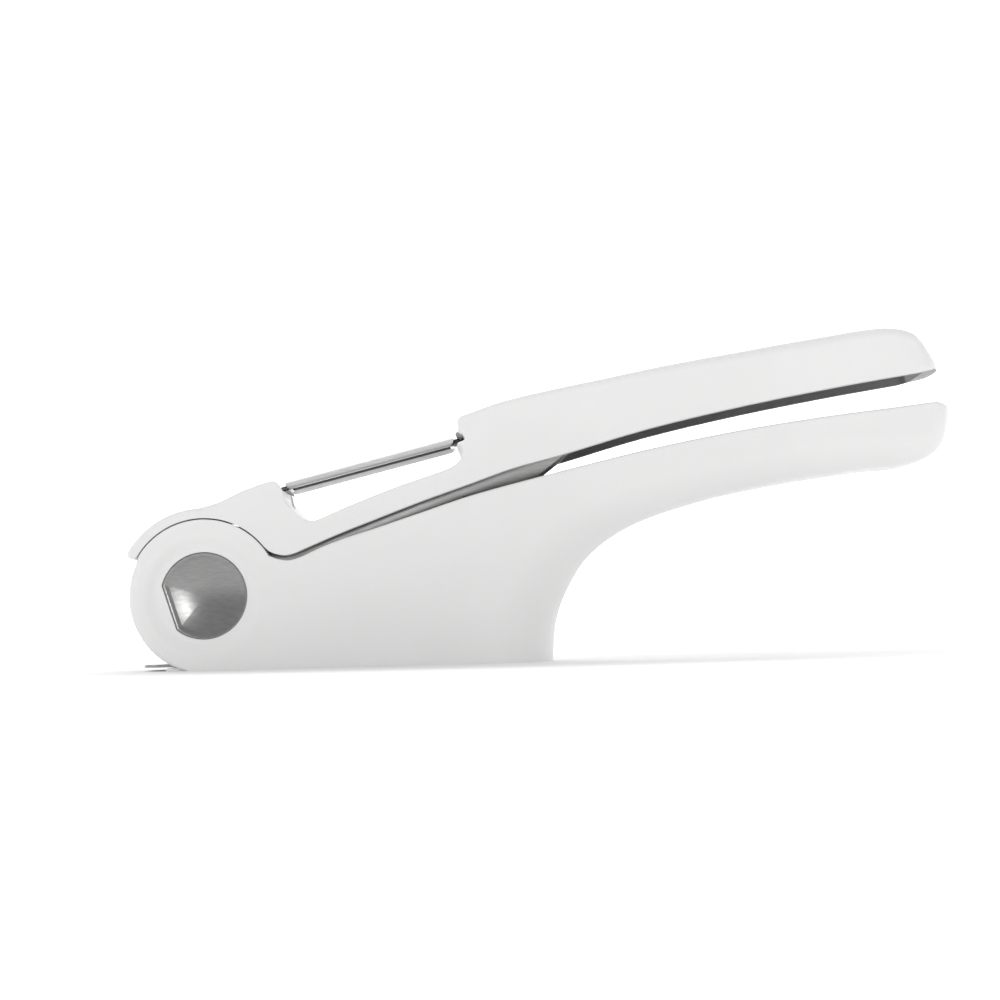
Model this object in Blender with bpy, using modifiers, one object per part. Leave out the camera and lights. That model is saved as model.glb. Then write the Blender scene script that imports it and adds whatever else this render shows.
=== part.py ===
"""Garlic press with a swivel peeler blade carried on its lever.

Frame: X runs from the hinge end to the handle end, Y is across the press, Z is up.
The origin is under the middle of the press, on the plane that its base stands on.
Side outlines are written in millimetres from the hinge axis, as (x, z).
"""

from math import acos, asin, atan2, cos, degrees, hypot, pi, radians, sin, sqrt

import bmesh
import bpy
from mathutils import Matrix, Vector

MM = 0.001
MERGE = 0.00001

# Overall places, in millimetres
HINGE_X = -81.8
HINGE_Z = 17.9
HALF_WIDTH = 14.0
BASE = -HINGE_Z

# Lever travel, in degrees from the rest pose: how far it still closes
CLOSING = 1.8

# Boss and hinge
BOSS_R = 18.4
BOSS_FILLET = 2.6
REAR_ROUNDING = 8.5
END_ROUNDING = 3.0
BOSS_CAVITY_R = 14.9
CHEEK_INNER = 9.0
PLUG_HOLE_R = 10.5
PLUG_FLAT = 8.86
PLUG_RIM_DROP = 1.0
PLUG_SAG = 1.1
PLUG_FLAT_ANGLE = 197.7
DISH_R = 14.8
DISH_DEPTH = 0.9
SLEEVE_R = 8.0
SLEEVE_BORE_R = 5.4
SLEEVE_HALF = 10.5
ARM_HUB_R = 11.0
FIT = 0.3

# Lever wrap around the boss
WRAP_INNER_R = 18.65
WRAP_OUTER_R = 21.2
WRAP_END_ANGLE = 148.5

# Garlic chamber: walls are arcs about the hinge, so the pusher swings in without rubbing
CHAMBER_FRONT_R = 24.5
CHAMBER_REAR_R = 50.0
CHAMBER_HALF = 9.4
STEEL = 0.8
RIM_FRONT_Z = 5.6
RIM_REAR_Z = 12.8

# Levels above the base plane
FRAME_TOP = 0.7
SIEVE_BOTTOM = 0.9
SIEVE_TOP = 1.6
SLOT_ROOF = 1.9

# Sieve plate
SIEVE_FRONT_X = -16.1
SIEVE_REAR_X = 51.6
SIEVE_HALF = 9.9
SIEVE_HOLE_R = 0.95
SIEVE_PITCH_X = 3.1
SIEVE_PITCH_Y = 3.1

# Press arm: a steel channel inside the lever
ARM_HALF = 8.1
ARM_STEEL = 1.0
PUSHER_HALF = 8.9
STEM_HALF = 6.7
WEB_START = (19.5, 11.3)
WEB_END = (90.0, 36.4)
ARM_SCREWS = (57.0, 75.0)
PUSHER_SCREWS = (33.5, 41.5)
WASHER_THICK = 0.5
WASHER_R = 10.6
LEVER_SKIN = 2.4

# Peeler blade
BLADE_START = (17.4, 25.9)
BLADE_END = (62.5, 36.7)
BLADE_HALF_CHORD = 5.0
BLADE_ARC_R = 5.76
BLADE_CROWN = 1.75
BLADE_STEEL = 0.7
BLADE_ROLL = -6.0
PIN_R = 0.7
POCKET_HALF = 12.2


def start_clean():
    """Removes every object, so that the part is alone in the file."""
    for item in list(bpy.data.objects):
        bpy.data.objects.remove(item, do_unlink=True)


def new_collection(name):
    found = bpy.data.collections.get(name)
    if found is None:
        found = bpy.data.collections.new(name)
        bpy.context.scene.collection.children.link(found)
    return found


def material(name, colour, roughness, metallic):
    made = bpy.data.materials.get(name) or bpy.data.materials.new(name)
    made.use_nodes = True
    shader = made.node_tree.nodes["Principled BSDF"]
    shader.inputs["Base Color"].default_value = (*colour, 1.0)
    shader.inputs["Roughness"].default_value = roughness
    shader.inputs["Metallic"].default_value = metallic
    return made


# ---------------------------------------------------------------- outlines


def arc(radius, start, end, steps, centre=(0.0, 0.0)):
    """Points on an arc, angles in degrees."""
    points = []
    for i in range(steps + 1):
        angle = radians(start + (end - start) * i / steps)
        points.append((centre[0] + radius * cos(angle), centre[1] + radius * sin(angle)))
    return points


def smooth(points, steps=3):
    """A soft run through the points, each stretch split into steps."""
    run = []
    last = len(points) - 1
    for i in range(last):
        before = points[max(i - 1, 0)]
        here = points[i]
        there = points[i + 1]
        after = points[min(i + 2, last)]
        for k in range(steps):
            t = k / steps
            run.append(tuple(
                0.5 * (2 * here[a] + (there[a] - before[a]) * t
                       + (2 * before[a] - 5 * here[a] + 4 * there[a] - after[a]) * t * t
                       + (3 * here[a] - before[a] - 3 * there[a] + after[a]) * t ** 3)
                for a in (0, 1)))
    run.append(points[last])
    return run


def turned(points, angle):
    """The points turned about the hinge axis, by an angle in degrees."""
    c = cos(radians(angle))
    s = sin(radians(angle))
    return [(x * c - z * s, x * s + z * c) for x, z in points]


def join_runs(*runs):
    """One closed outline from runs of (points, edge rounding), without repeated points."""
    points = []
    radii = []
    for run, radius in runs:
        for point in run:
            if points and hypot(point[0] - points[-1][0], point[1] - points[-1][1]) < 0.02:
                radii[-1] = radius
                continue
            points.append(point)
            radii.append(radius)
    if hypot(points[0][0] - points[-1][0], points[0][1] - points[-1][1]) < 0.02:
        points.pop()
        radii.pop()
    return points, radii


# ------------------------------------------------------------- solid makers


def place(item, collection, parent=None):
    """Links an object, and hangs it on its parent without moving it."""
    collection.objects.link(item)
    if parent is not None:
        world = item.matrix_world.copy()
        item.parent = parent
        item.matrix_world = world
    return item


def finish_mesh(mesh, colour):
    mesh.shade_smooth()
    mesh.set_sharp_from_angle(angle=radians(28))
    if colour is not None:
        mesh.materials.clear()
        mesh.materials.append(colour)


def hinge_frame(y=0.0):
    """Matrix of a side outline: its drawing plane stands up in XZ, its origin on the hinge axis."""
    return Matrix.Translation((HINGE_X * MM, y * MM, HINGE_Z * MM)) @ Matrix.Rotation(pi / 2, 4, "X")


def drawn_solid(name, points, radii, half, frame):
    """A closed outline in millimetres, made solid by half a thickness to each side of its drawing plane."""
    curve = bpy.data.curves.new(name + "_outline", "CURVE")
    curve.dimensions = "2D"
    curve.fill_mode = "BOTH"
    curve.extrude = half * MM
    spline = curve.splines.new("POLY")
    spline.points.add(len(points) - 1)
    for item, (across, up) in zip(spline.points, points):
        item.co = (across * MM, up * MM, 0.0, 1.0)
    spline.use_cyclic_u = True
    drawn = bpy.data.objects.new(name + "_outline", curve)
    bpy.context.scene.collection.objects.link(drawn)
    bpy.context.view_layer.update()
    mesh = bpy.data.meshes.new_from_object(drawn.evaluated_get(bpy.context.evaluated_depsgraph_get()))
    mesh.name = name
    weld_caps(mesh, points, radii)
    bpy.data.objects.remove(drawn, do_unlink=True)
    solid = bpy.data.objects.new(name, mesh)
    solid.matrix_world = frame
    return solid


def side_solid(name, outline, half, collection, colour=None, parent=None, y=0.0):
    """A side outline made solid across Y. The outline is (points, roundings) in millimetres."""
    points, radii = outline
    solid = drawn_solid(name, points, radii, half, hinge_frame(y))
    finish_mesh(solid.data, colour)
    place(solid, collection, parent)
    widest = max(radii)
    if widest > 0:
        bevel = solid.modifiers.new("edge rounding", "BEVEL")
        bevel.limit_method = "WEIGHT"
        bevel.width = widest * MM
        bevel.segments = 4 if widest > 3 else 2
        bevel.use_clamp_overlap = False
    return solid


def weld_caps(mesh, points, radii):
    """Joins the caps to the side wall, makes each cap one face, and marks the rounded edges."""
    bm = bmesh.new()
    bm.from_mesh(mesh)
    bmesh.ops.remove_doubles(bm, verts=bm.verts, dist=MERGE)
    bm.normal_update()
    for side in (-1, 1):
        cap = [f for f in bm.faces if f.normal.z * side > 0.9]
        if len(cap) > 1:
            bmesh.ops.dissolve_faces(bm, faces=cap, use_verts=False)
    bmesh.ops.recalc_face_normals(bm, faces=bm.faces)
    widest = max(radii)
    if widest > 0:
        layer = bm.edges.layers.float.new("bevel_weight_edge")
        index = {key(x * MM, z * MM): i for i, (x, z) in enumerate(points)}
        count = len(points)
        for edge in bm.edges:
            ends = [index.get(key(v.co.x, v.co.y)) for v in edge.verts]
            if None in ends or ends[0] == ends[1]:
                continue
            low, high = sorted(ends)
            if high - low == 1:
                edge[layer] = radii[low] / widest
            elif low == 0 and high == count - 1:
                edge[layer] = radii[high] / widest
    bm.to_mesh(mesh)
    bm.free()


def key(x, y):
    return round(x * 1e6), round(y * 1e6)


def plan_solid(name, points, low, high, collection, colour=None, parent=None):
    """A plan outline in millimetres, (x from the hinge, y), made solid between two heights."""
    frame = Matrix.Translation((HINGE_X * MM, 0.0, (low + high) / 2 * MM))
    solid = drawn_solid(name, points, [0.0] * len(points), (high - low) / 2, frame)
    finish_mesh(solid.data, colour)
    return place(solid, collection, parent)


def rod(name, radius, length, centre, axis, collection, colour=None, parent=None, sides=24, top=None):
    """A round bar or cone frustum; centre is (x from the hinge, y, z from the hinge)."""
    bm = bmesh.new()
    bmesh.ops.create_cone(bm, cap_ends=True, segments=sides, radius1=radius * MM,
                          radius2=(radius if top is None else top) * MM, depth=length * MM)
    mesh = bpy.data.meshes.new(name)
    bm.to_mesh(mesh)
    bm.free()
    solid = bpy.data.objects.new(name, mesh)
    spot = Vector(((HINGE_X + centre[0]) * MM, centre[1] * MM, (HINGE_Z + centre[2]) * MM))
    turn = Vector((0, 0, 1)).rotation_difference(Vector(axis).normalized())
    solid.matrix_world = Matrix.Translation(spot) @ turn.to_matrix().to_4x4()
    finish_mesh(mesh, colour)
    return place(solid, collection, parent)


def turned_solid(name, profile, centre, axis, collection, colour=None, parent=None, sides=32):
    """A turned piece: profile is (radius, height) in millimetres from top to bottom."""
    mesh = bpy.data.meshes.new(name)
    rows = [(r * MM, 0.0, h * MM) for r, h in profile]
    mesh.from_pydata(rows, [(i, i + 1) for i in range(len(rows) - 1)], [])
    solid = bpy.data.objects.new(name, mesh)
    spot = Vector(((HINGE_X + centre[0]) * MM, centre[1] * MM, (HINGE_Z + centre[2]) * MM))
    turn = Vector((0, 0, 1)).rotation_difference(Vector(axis).normalized())
    solid.matrix_world = Matrix.Translation(spot) @ turn.to_matrix().to_4x4()
    screw = solid.modifiers.new("turn", "SCREW")
    screw.axis = "Z"
    screw.steps = sides
    screw.render_steps = sides
    screw.use_merge_vertices = True
    screw.merge_threshold = MERGE
    screw.use_smooth_shade = True
    if colour is not None:
        mesh.materials.append(colour)
    return place(solid, collection, parent)


def combine(solid, other, operation):
    step = solid.modifiers.new(operation.lower() + " " + other.name, "BOOLEAN")
    step.operation = operation
    step.object = other
    step.solver = "EXACT"
    other.hide_render = True
    other.display_type = "WIRE"


def cut(solid, *cutters):
    for cutter in cutters:
        combine(solid, cutter, "DIFFERENCE")


# ------------------------------------------------------------------ outlines


def rim_height(x):
    """Height of the chamber's sloping rim above the hinge axis."""
    slope = (RIM_REAR_Z - RIM_FRONT_Z) / (CHAMBER_REAR_R - CHAMBER_FRONT_R)
    return RIM_FRONT_Z + (x - CHAMBER_FRONT_R) * slope


def body_outline():
    """The press body and its lower handle, seen from the side."""
    base_angle = 360 - degrees(acos(-BASE / BOSS_R)) - 90
    boss = arc(BOSS_R, 30.0, base_angle, 34)
    base = [(boss[-1][0], BASE), (83.6, BASE)]
    rear = smooth([(83.6, BASE), (84.4, -9.2), (86.5, -2.5), (92.7, 7.3), (102.6, 14.3), (119.8, 20.4),
                   (139.1, 24.2), (158.3, 26.7), (168.6, 27.4)], 4)
    end = smooth([(168.6, 27.4), (174.0, 28.9), (178.2, 32.0), (180.9, 36.6), (182.0, 40.4)], 2)
    top = smooth([(181.3, 41.9), (177.5, 42.0), (168.4, 41.1), (149.1, 39.05), (129.8, 36.4), (110.5, 33.0),
                  (96.0, 29.9), (79.6, 26.1), (64.7, 22.4), (52.5, 18.6), (42.3, 15.4), (34.0, 12.9),
                  (28.4, 10.9), (23.4, 8.7), (20.6, 8.0), (18.1, 8.35), (boss[0][0], boss[0][1])], 2)
    return join_runs((boss[:4], 0.0), (boss[4:], BOSS_FILLET), (base, 0.0), (rear, REAR_ROUNDING),
                     (end, END_ROUNDING), (top, 0.0))


def lever_outline():
    """The upper handle: the wrap over the boss, the horn, the blade window, the prong and the grip."""
    outer = arc(WRAP_OUTER_R, 93.0, WRAP_END_ANGLE, 20)
    middle = (WRAP_INNER_R + WRAP_OUTER_R) / 2
    tip_centre = (middle * cos(radians(WRAP_END_ANGLE)), middle * sin(radians(WRAP_END_ANGLE)))
    tip = arc((WRAP_OUTER_R - WRAP_INNER_R) / 2, WRAP_END_ANGLE, WRAP_END_ANGLE + 180, 6, tip_centre)
    inner = arc(WRAP_INNER_R, WRAP_END_ANGLE, 37.5, 28)
    lower = smooth([inner[-1], (16.2, 10.15), (18.2, 9.4), (20.1, 9.2), (22.0, 9.6), (24.5, 10.6),
                    (32.6, 13.9), (41.8, 17.3), (52.6, 21.2), (64.7, 25.2), (74.9, 28.6), (86.6, 31.5),
                    (108.2, 37.4),
                    (132.4, 42.5), (156.5, 46.65), (168.5, 48.45), (174.6, 49.3), (179.5, 50.1)], 2)
    end = smooth([(179.5, 50.1), (177.7, 53.8), (175.3, 56.6), (171.2, 59.4), (167.2, 60.3)], 3)
    top = smooth([(167.2, 60.3), (163.1, 60.3), (149.6, 58.5), (130.3, 55.55), (111.0, 52.45), (96.5, 49.7),
                  (82.1, 47.0), (72.4, 44.7), (63.6, 41.6)], 3)
    prong = smooth([(63.6, 41.6), (62.1, 40.8), (62.7, 38.4), (62.6, 33.9), (61.8, 31.2), (60.2, 29.4)], 2)
    window = smooth([(60.2, 29.4), (57.9, 28.5), (46.3, 24.8), (34.7, 20.5), (27.0, 17.35), (23.5, 18.4),
                     (20.9, 21.2), (19.5, 24.6), (18.4, 27.4)], 3)
    horn = smooth([(18.4, 27.4), (15.7, 27.05), (10.2, 25.2), (3.4, 22.3), outer[0]], 3)
    return join_runs((outer, 0.0), (tip, 0.0), (inner, 0.0), (lower, 0.0), (end, 0.0), (top, 0.0),
                     (prong, 0.0), (window, 0.0), (horn, 0.0))


def plan_rounding(name, nose_x, straight_x, corner, collection, half=HALF_WIDTH):
    """Plan of a handle with a rounded nose: keeps what lies inside it."""
    length = nose_x - straight_x
    reach = half + 0.5
    nose = []
    steps = 16
    for i in range(steps + 1):
        angle = -pi / 2 + pi * i / steps
        across = abs(sin(angle)) ** corner
        along = abs(cos(angle)) ** corner
        nose.append((straight_x + length * along, reach * across * (1 if angle > 0 else -1)))
    points = [(-30.0, reach), (-30.0, -reach)] + nose[1:-1]
    points[2:2] = [(straight_x, -reach)]
    points.append((straight_x, reach))
    return plan_solid(name, points, -20.0, 90.0, collection)


# ------------------------------------------------------------------- pieces


def make_body(parts, cutters, white):
    body = side_solid("body", body_outline(), HALF_WIDTH, parts, white)
    combine(body, plan_rounding("body_plan", 182.2, 174.5, 0.7, cutters), "INTERSECT")

    cavity = arc(BOSS_CAVITY_R, 112.0, 340.0, 26)
    passage = [(17.0, 1.0), (CHAMBER_FRONT_R - 1.1, rim_height(CHAMBER_FRONT_R) - 0.4),
               (24.5, 22.0), (8.0, 22.0), (22.0 * cos(radians(112)), 22.0 * sin(radians(112)))]
    cut(body, side_solid("boss_cavity", join_runs((cavity, 0.0), (passage, 0.0)), CHEEK_INNER, cutters))

    front = CHAMBER_FRONT_R - STEEL - FIT
    rear = CHAMBER_REAR_R + STEEL + FIT
    depth = -BASE + 1.0
    chamber = (arc(front, -degrees(asin(depth / front)), 55.0, 10)
               + arc(rear, 55.0, -degrees(asin(depth / rear)), 12))
    half = CHAMBER_HALF + STEEL + FIT
    cut(body, side_solid("chamber_cut", join_runs((chamber, 0.0)), half, cutters))

    over_rim = [(22.6, rim_height(22.6) - 0.4), (54.6, rim_height(54.6) - 0.4), (60.0, 16.0), (60.0, 40.0),
                (22.6, 40.0)]
    cut(body, side_solid("arm_passage", join_runs((over_rim, 0.0)), half + 0.4, cutters))

    ledge = BASE + SLOT_ROOF + STEEL + FIT
    flange = [(15.2, ledge), (52.9, ledge), (52.9, BASE - 1), (15.2, BASE - 1)]
    cut(body, side_solid("hopper_flange_cut", join_runs((flange, 0.0)), half, cutters))

    slot = [(-22.0, BASE + SLOT_ROOF), (52.9, BASE + SLOT_ROOF), (52.9, BASE - 1), (-22.0, BASE - 1)]
    cut(body, side_solid("sieve_slot", join_runs((slot, 0.0)), SIEVE_HALF + FIT, cutters))

    recess = BASE + FRAME_TOP + 0.05
    tray = [(-22.0, recess), (62.3, recess), (62.3, BASE - 1), (-22.0, BASE - 1)]
    cut(body, side_solid("frame_recess", join_runs((tray, 0.0)), 12.9, cutters))

    trough = smooth([(54.4, 40.0), (54.4, 22.0), (55.0, 16.5), (58.0, 14.4), (70.0, 14.4), (85.0, 13.2),
                     (94.0, 14.0), (105.0, 19.0), (122.0, 23.8), (141.0, 27.2), (158.0, 29.4), (168.0, 30.6),
                     (173.5, 33.2), (175.8, 38.0), (175.8, 50.0)], 2)
    cut(body, side_solid("handle_trough", join_runs((trough, 4.5), ([(175.8, 50.0)], 0.0)), 10.6, cutters))

    for side in (-1, 1):
        pocket = [(62.8, BASE - 1), (80.0, BASE - 1), (80.6, -9.0), (82.5, -2.0), (86.0, 5.0), (84.0, 9.6),
                  (66.0, 11.4), (62.8, 9.5)]
        core = side_solid("core_pocket_" + ("left" if side > 0 else "right"), join_runs((pocket, 0.0)),
                          3.9, cutters, y=side * 5.1)
        cut(body, core)
        seat = (57.6, side * 6.5)
        pilot = rod("base_pilot", 0.8 + FIT, 10.0, (*seat, BASE + 3.0), (0, 0, 1), cutters, sides=12)
        cut(body, pilot)
        pad = rod("base_pad_recess", 2.9, 4.5, (*seat, BASE), (0, 0, 1), cutters, sides=20)
        cut(body, pad)
        cut(body, plug_hole(side, cutters))
        dish_high = HALF_WIDTH + 0.4
        dish_floor = HALF_WIDTH - DISH_DEPTH
        profile = [(0.0, dish_high), (DISH_R + 0.4, dish_high), (DISH_R, HALF_WIDTH),
                   (DISH_R - 1.3, HALF_WIDTH - 0.35), (PLUG_HOLE_R + 1.2, dish_floor + 0.1),
                   (PLUG_HOLE_R - 0.8, dish_floor), (0.0, dish_floor)]
        cut(body, turned_solid("dish", profile, (0, 0, 0), (0, side, 0), cutters, sides=40))
    return body


def plug_profile(radius, flat):
    """A circle with a flat on it, keyed so that the plug can't turn."""
    half = degrees(acos(flat / radius))
    return arc(radius, PLUG_FLAT_ANGLE + half, PLUG_FLAT_ANGLE - half + 360, 40)


def plug_hole(side, cutters):
    outline = join_runs((plug_profile(PLUG_HOLE_R, PLUG_FLAT), 0.0))
    return side_solid("plug_hole", outline, 3.4, cutters, y=side * (CHEEK_INNER + 2.6))


def make_base_frame(parts, cutters, white, steel):
    plan = [(-9.4, -12.6), (62.0, -12.6), (62.0, 12.6), (-9.4, 12.6)]
    frame = plan_solid("base_frame", plan, 0.0, FRAME_TOP, parts, white)
    window = [(19.5, -8.6), (46.0, -8.6), (46.0, 8.6), (19.5, 8.6)]
    for side in (-1, 1):
        centre = (57.6, side * 6.5, BASE + 0.95)
        combine(frame, rod("base_pad", 2.6, 1.9, centre, (0, 0, 1), cutters, sides=20), "UNION")
    cut(frame, plan_solid("outlet_window", window, -1.0, 2.0, cutters))
    for side in (-1, 1):
        spot = (57.6, side * 6.5, BASE + 1.0)
        cut(frame, rod("screw_clearance", 1.1, 6.0, spot, (0, 0, 1), cutters, sides=16))
        sink = (57.6, side * 6.5, BASE + 0.35)
        cut(frame, rod("screw_sink", 2.25, 1.5, sink, (0, 0, 1), cutters, sides=20, top=1.1))
        name = "base_screw_left" if side > 0 else "base_screw_right"
        profile = [(0.0, 6.4), (0.8, 6.1), (0.8, 1.2), (1.45, 0.35), (1.45, 0.12), (0.55, 0.12),
                   (0.55, 0.55), (0.0, 0.55)]
        screw = turned_solid(name, profile, (57.6, side * 6.5, BASE), (0, 0, 1), parts, steel, sides=16)
        slot_it(screw, name, (57.6, side * 6.5, BASE + 0.1), cutters)
    return frame


def slot_it(screw, name, spot, cutters, axis=(0, 0, 1), length=2.6, width=0.5, depth=0.7):
    """Cuts a cross driver slot into a screw head."""
    for turn in (0, 1):
        size = (length, width) if turn == 0 else (width, length)
        bm = bmesh.new()
        bmesh.ops.create_cube(bm, size=1.0)
        bmesh.ops.scale(bm, vec=(size[0] * MM, size[1] * MM, depth * MM), verts=bm.verts)
        mesh = bpy.data.meshes.new(name + "_slot")
        bm.to_mesh(mesh)
        bm.free()
        blade = bpy.data.objects.new(name + "_slot", mesh)
        place_at = Vector(((HINGE_X + spot[0]) * MM, spot[1] * MM, (HINGE_Z + spot[2]) * MM))
        lean = Vector((0, 0, 1)).rotation_difference(Vector(axis).normalized())
        blade.matrix_world = Matrix.Translation(place_at) @ lean.to_matrix().to_4x4()
        place(blade, cutters)
        cut(screw, blade)


def make_hopper(parts, cutters, steel):
    low = BASE + SLOT_ROOF
    front = CHAMBER_FRONT_R - STEEL
    rear = CHAMBER_REAR_R + STEEL
    front_top = degrees(asin(rim_height(front) / front))
    rear_top = degrees(asin(rim_height(rear) / rear))
    outer = (arc(front, -degrees(asin(-low / front)), front_top, 8)
             + arc(rear, rear_top, -degrees(asin(-low / rear)), 8))
    hopper = side_solid("hopper", join_runs((outer, 0.0)), CHAMBER_HALF + STEEL, parts, steel)
    flange_top = low + STEEL
    flange = [(15.5, low), (52.6, low), (52.6, flange_top), (15.5, flange_top)]
    combine(hopper, side_solid("hopper_flange", join_runs((flange, 0.0)), CHAMBER_HALF + STEEL, cutters),
            "UNION")
    depth = -BASE + 1.0
    inner = (arc(CHAMBER_FRONT_R, -degrees(asin(depth / CHAMBER_FRONT_R)), 40.0, 10)
             + arc(CHAMBER_REAR_R, 40.0, -degrees(asin(depth / CHAMBER_REAR_R)), 12))
    cut(hopper, side_solid("hopper_inside", join_runs((inner, 0.0)), CHAMBER_HALF, cutters))
    return hopper


def make_sieve(parts, cutters, steel, parent):
    nose = arc(5.0, 90.0, 180.0, 4, (SIEVE_FRONT_X + 5.0, SIEVE_HALF - 5.0))
    plan = ([(SIEVE_REAR_X, SIEVE_HALF)] + nose
            + [(x, -y) for x, y in reversed(nose)] + [(SIEVE_REAR_X, -SIEVE_HALF)])
    sieve = plan_solid("sieve_plate", plan, SIEVE_BOTTOM, SIEVE_TOP, parts, steel, parent)
    holes = []
    columns = 8
    rows = 5
    for i in range(columns):
        x = 33.2 + (i - (columns - 1) / 2) * SIEVE_PITCH_X
        count = rows if i % 2 == 0 else rows - 1
        for k in range(count):
            holes.append((x, (k - (count - 1) / 2) * SIEVE_PITCH_Y))
    cut(sieve, hole_field("sieve_holes", holes, SIEVE_HOLE_R, cutters))
    cut(sieve, rod("sieve_pull_hole", 2.2, 4.0, (-10.6, 0.0, BASE + 1.2), (0, 0, 1), cutters, sides=20))
    return sieve


def hole_field(name, spots, radius, cutters, sides=8):
    """Many upright drills in one cutter."""
    bm = bmesh.new()
    for x, y in spots:
        where = Matrix.Translation(((HINGE_X + x) * MM, y * MM, SIEVE_TOP * MM))
        bmesh.ops.create_cone(bm, cap_ends=True, segments=sides, radius1=radius * MM, radius2=radius * MM,
                              depth=4.0 * MM, matrix=where)
    mesh = bpy.data.meshes.new(name)
    bm.to_mesh(mesh)
    bm.free()
    return place(bpy.data.objects.new(name, mesh), cutters)


def make_axle(parts, cutters, steel):
    sleeve = rod("axle_sleeve", SLEEVE_R, 2 * SLEEVE_HALF, (0, 0, 0), (0, 1, 0), parts, steel, sides=36)
    cut(sleeve, rod("sleeve_bore", SLEEVE_BORE_R, 40.0, (0, 0, 0), (0, 1, 0), cutters, sides=28))
    for side in (-1, 1):
        name = "axle_plug_left" if side > 0 else "axle_plug_right"
        inner = SLEEVE_HALF + FIT
        middle = HALF_WIDTH - PLUG_RIM_DROP - PLUG_SAG
        disc_r = PLUG_HOLE_R - 0.25
        ball = (disc_r ** 2 + PLUG_SAG ** 2) / (2 * PLUG_SAG)
        face = []
        for i in range(9):
            radius = disc_r * i / 8
            face.append((radius, middle + ball - sqrt(ball ** 2 - radius ** 2)))
        spigot = SLEEVE_BORE_R - FIT
        profile = face + [(disc_r, inner), (spigot, inner), (spigot, 6.0), (0.0, 6.0)]
        plug = turned_solid(name, profile, (0, 0, 0), (0, side, 0), parts, steel, sides=40)
        outline = join_runs((plug_profile(PLUG_HOLE_R + 4.0, PLUG_FLAT - 0.25), 0.0))
        keep = side_solid("plug_flat", outline, 6.0, cutters, y=side * 10.5)
        combine(plug, keep, "INTERSECT")


def make_lever(parts, cutters, white, parent):
    lever = side_solid("lever", lever_outline(), HALF_WIDTH, parts, white, parent)
    combine(lever, plan_rounding("lever_plan", 179.8, 172.0, 0.7, cutters), "INTERSECT")

    roof = smooth([(11.0, 15.6), (15.5, 18.6), (19.0, 17.0), (22.5, 14.2), (27.0, 14.7), (34.7, 18.0),
                   (46.3, 22.2), (57.9, 25.9), (62.3, 28.0), (65.4, 31.0), (66.6, 35.0), (68.5, 39.5),
                   (73.0, 41.9), (82.7, 44.2), (97.0, 46.9), (111.5, 49.6), (130.8, 52.7), (150.0, 55.7),
                   (165.0, 57.4), (170.0, 56.9), (173.4, 54.4), (174.9, 51.0), (175.3, 46.0)], 2)
    floor = [(156.5, 42.0), (132.4, 38.0), (108.2, 32.0), (86.6, 26.0), (64.7, 20.0), (41.8, 12.0),
             (24.5, 5.0), (12.0, 6.0)]
    inside = HALF_WIDTH - LEVER_SKIN
    hollow = side_solid("lever_hollow", join_runs((roof, 1.6), (floor, 0.0)), inside, cutters)
    combine(hollow, plan_rounding("hollow_plan", 175.6, 166.0, 0.8, cutters, inside - 0.5), "INTERSECT")
    cut(lever, hollow)

    normal = web_normal()
    foot = web_point(ARM_SCREWS[1], FIT)
    middle = (foot[0] + normal[0] * 6.0, 0.0, foot[1] + normal[1] * 6.0)
    upward = (normal[0], 0, normal[1])
    combine(lever, rod("arm_post", 3.6, 12.0, middle, upward, cutters, sides=20), "UNION")
    for x in ARM_SCREWS:
        spot = web_point(x, 0.0)
        cut(lever, rod("arm_pilot", 1.0 + FIT, 4.4, (spot[0], 0.0, spot[1]), upward, cutters, sides=12))

    along = blade_direction()
    for end, out, depth in ((BLADE_START, -1.4, 6.0), (BLADE_END, 1.4, 4.8)):
        middle = (end[0] + along[0] * out, 0.0, end[1] + along[1] * out)
        cut(lever, rod("pin_hole", PIN_R + 0.25, depth, middle, (along[0], 0, along[1]), cutters, sides=12))
    pocket = [(15.2, 23.9), (26.0, 26.5), (26.0, 34.0), (15.2, 34.0)]
    cut(lever, side_solid("horn_pocket", join_runs((pocket, 0.0)), POCKET_HALF, cutters))
    return lever


def web_normal():
    """Upward normal of the arm's flat web, in the side view."""
    dx = WEB_END[0] - WEB_START[0]
    dz = WEB_END[1] - WEB_START[1]
    size = hypot(dx, dz)
    return -dz / size, dx / size


def web_point(x, lift):
    """A point on the web's upper face at x, lifted along its normal."""
    share = (x - WEB_START[0]) / (WEB_END[0] - WEB_START[0])
    normal = web_normal()
    z = WEB_START[1] + share * (WEB_END[1] - WEB_START[1])
    return x + normal[0] * lift, z + normal[1] * lift


def blade_direction():
    dx = BLADE_END[0] - BLADE_START[0]
    dz = BLADE_END[1] - BLADE_START[1]
    size = hypot(dx, dz)
    return dx / size, dz / size


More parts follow.
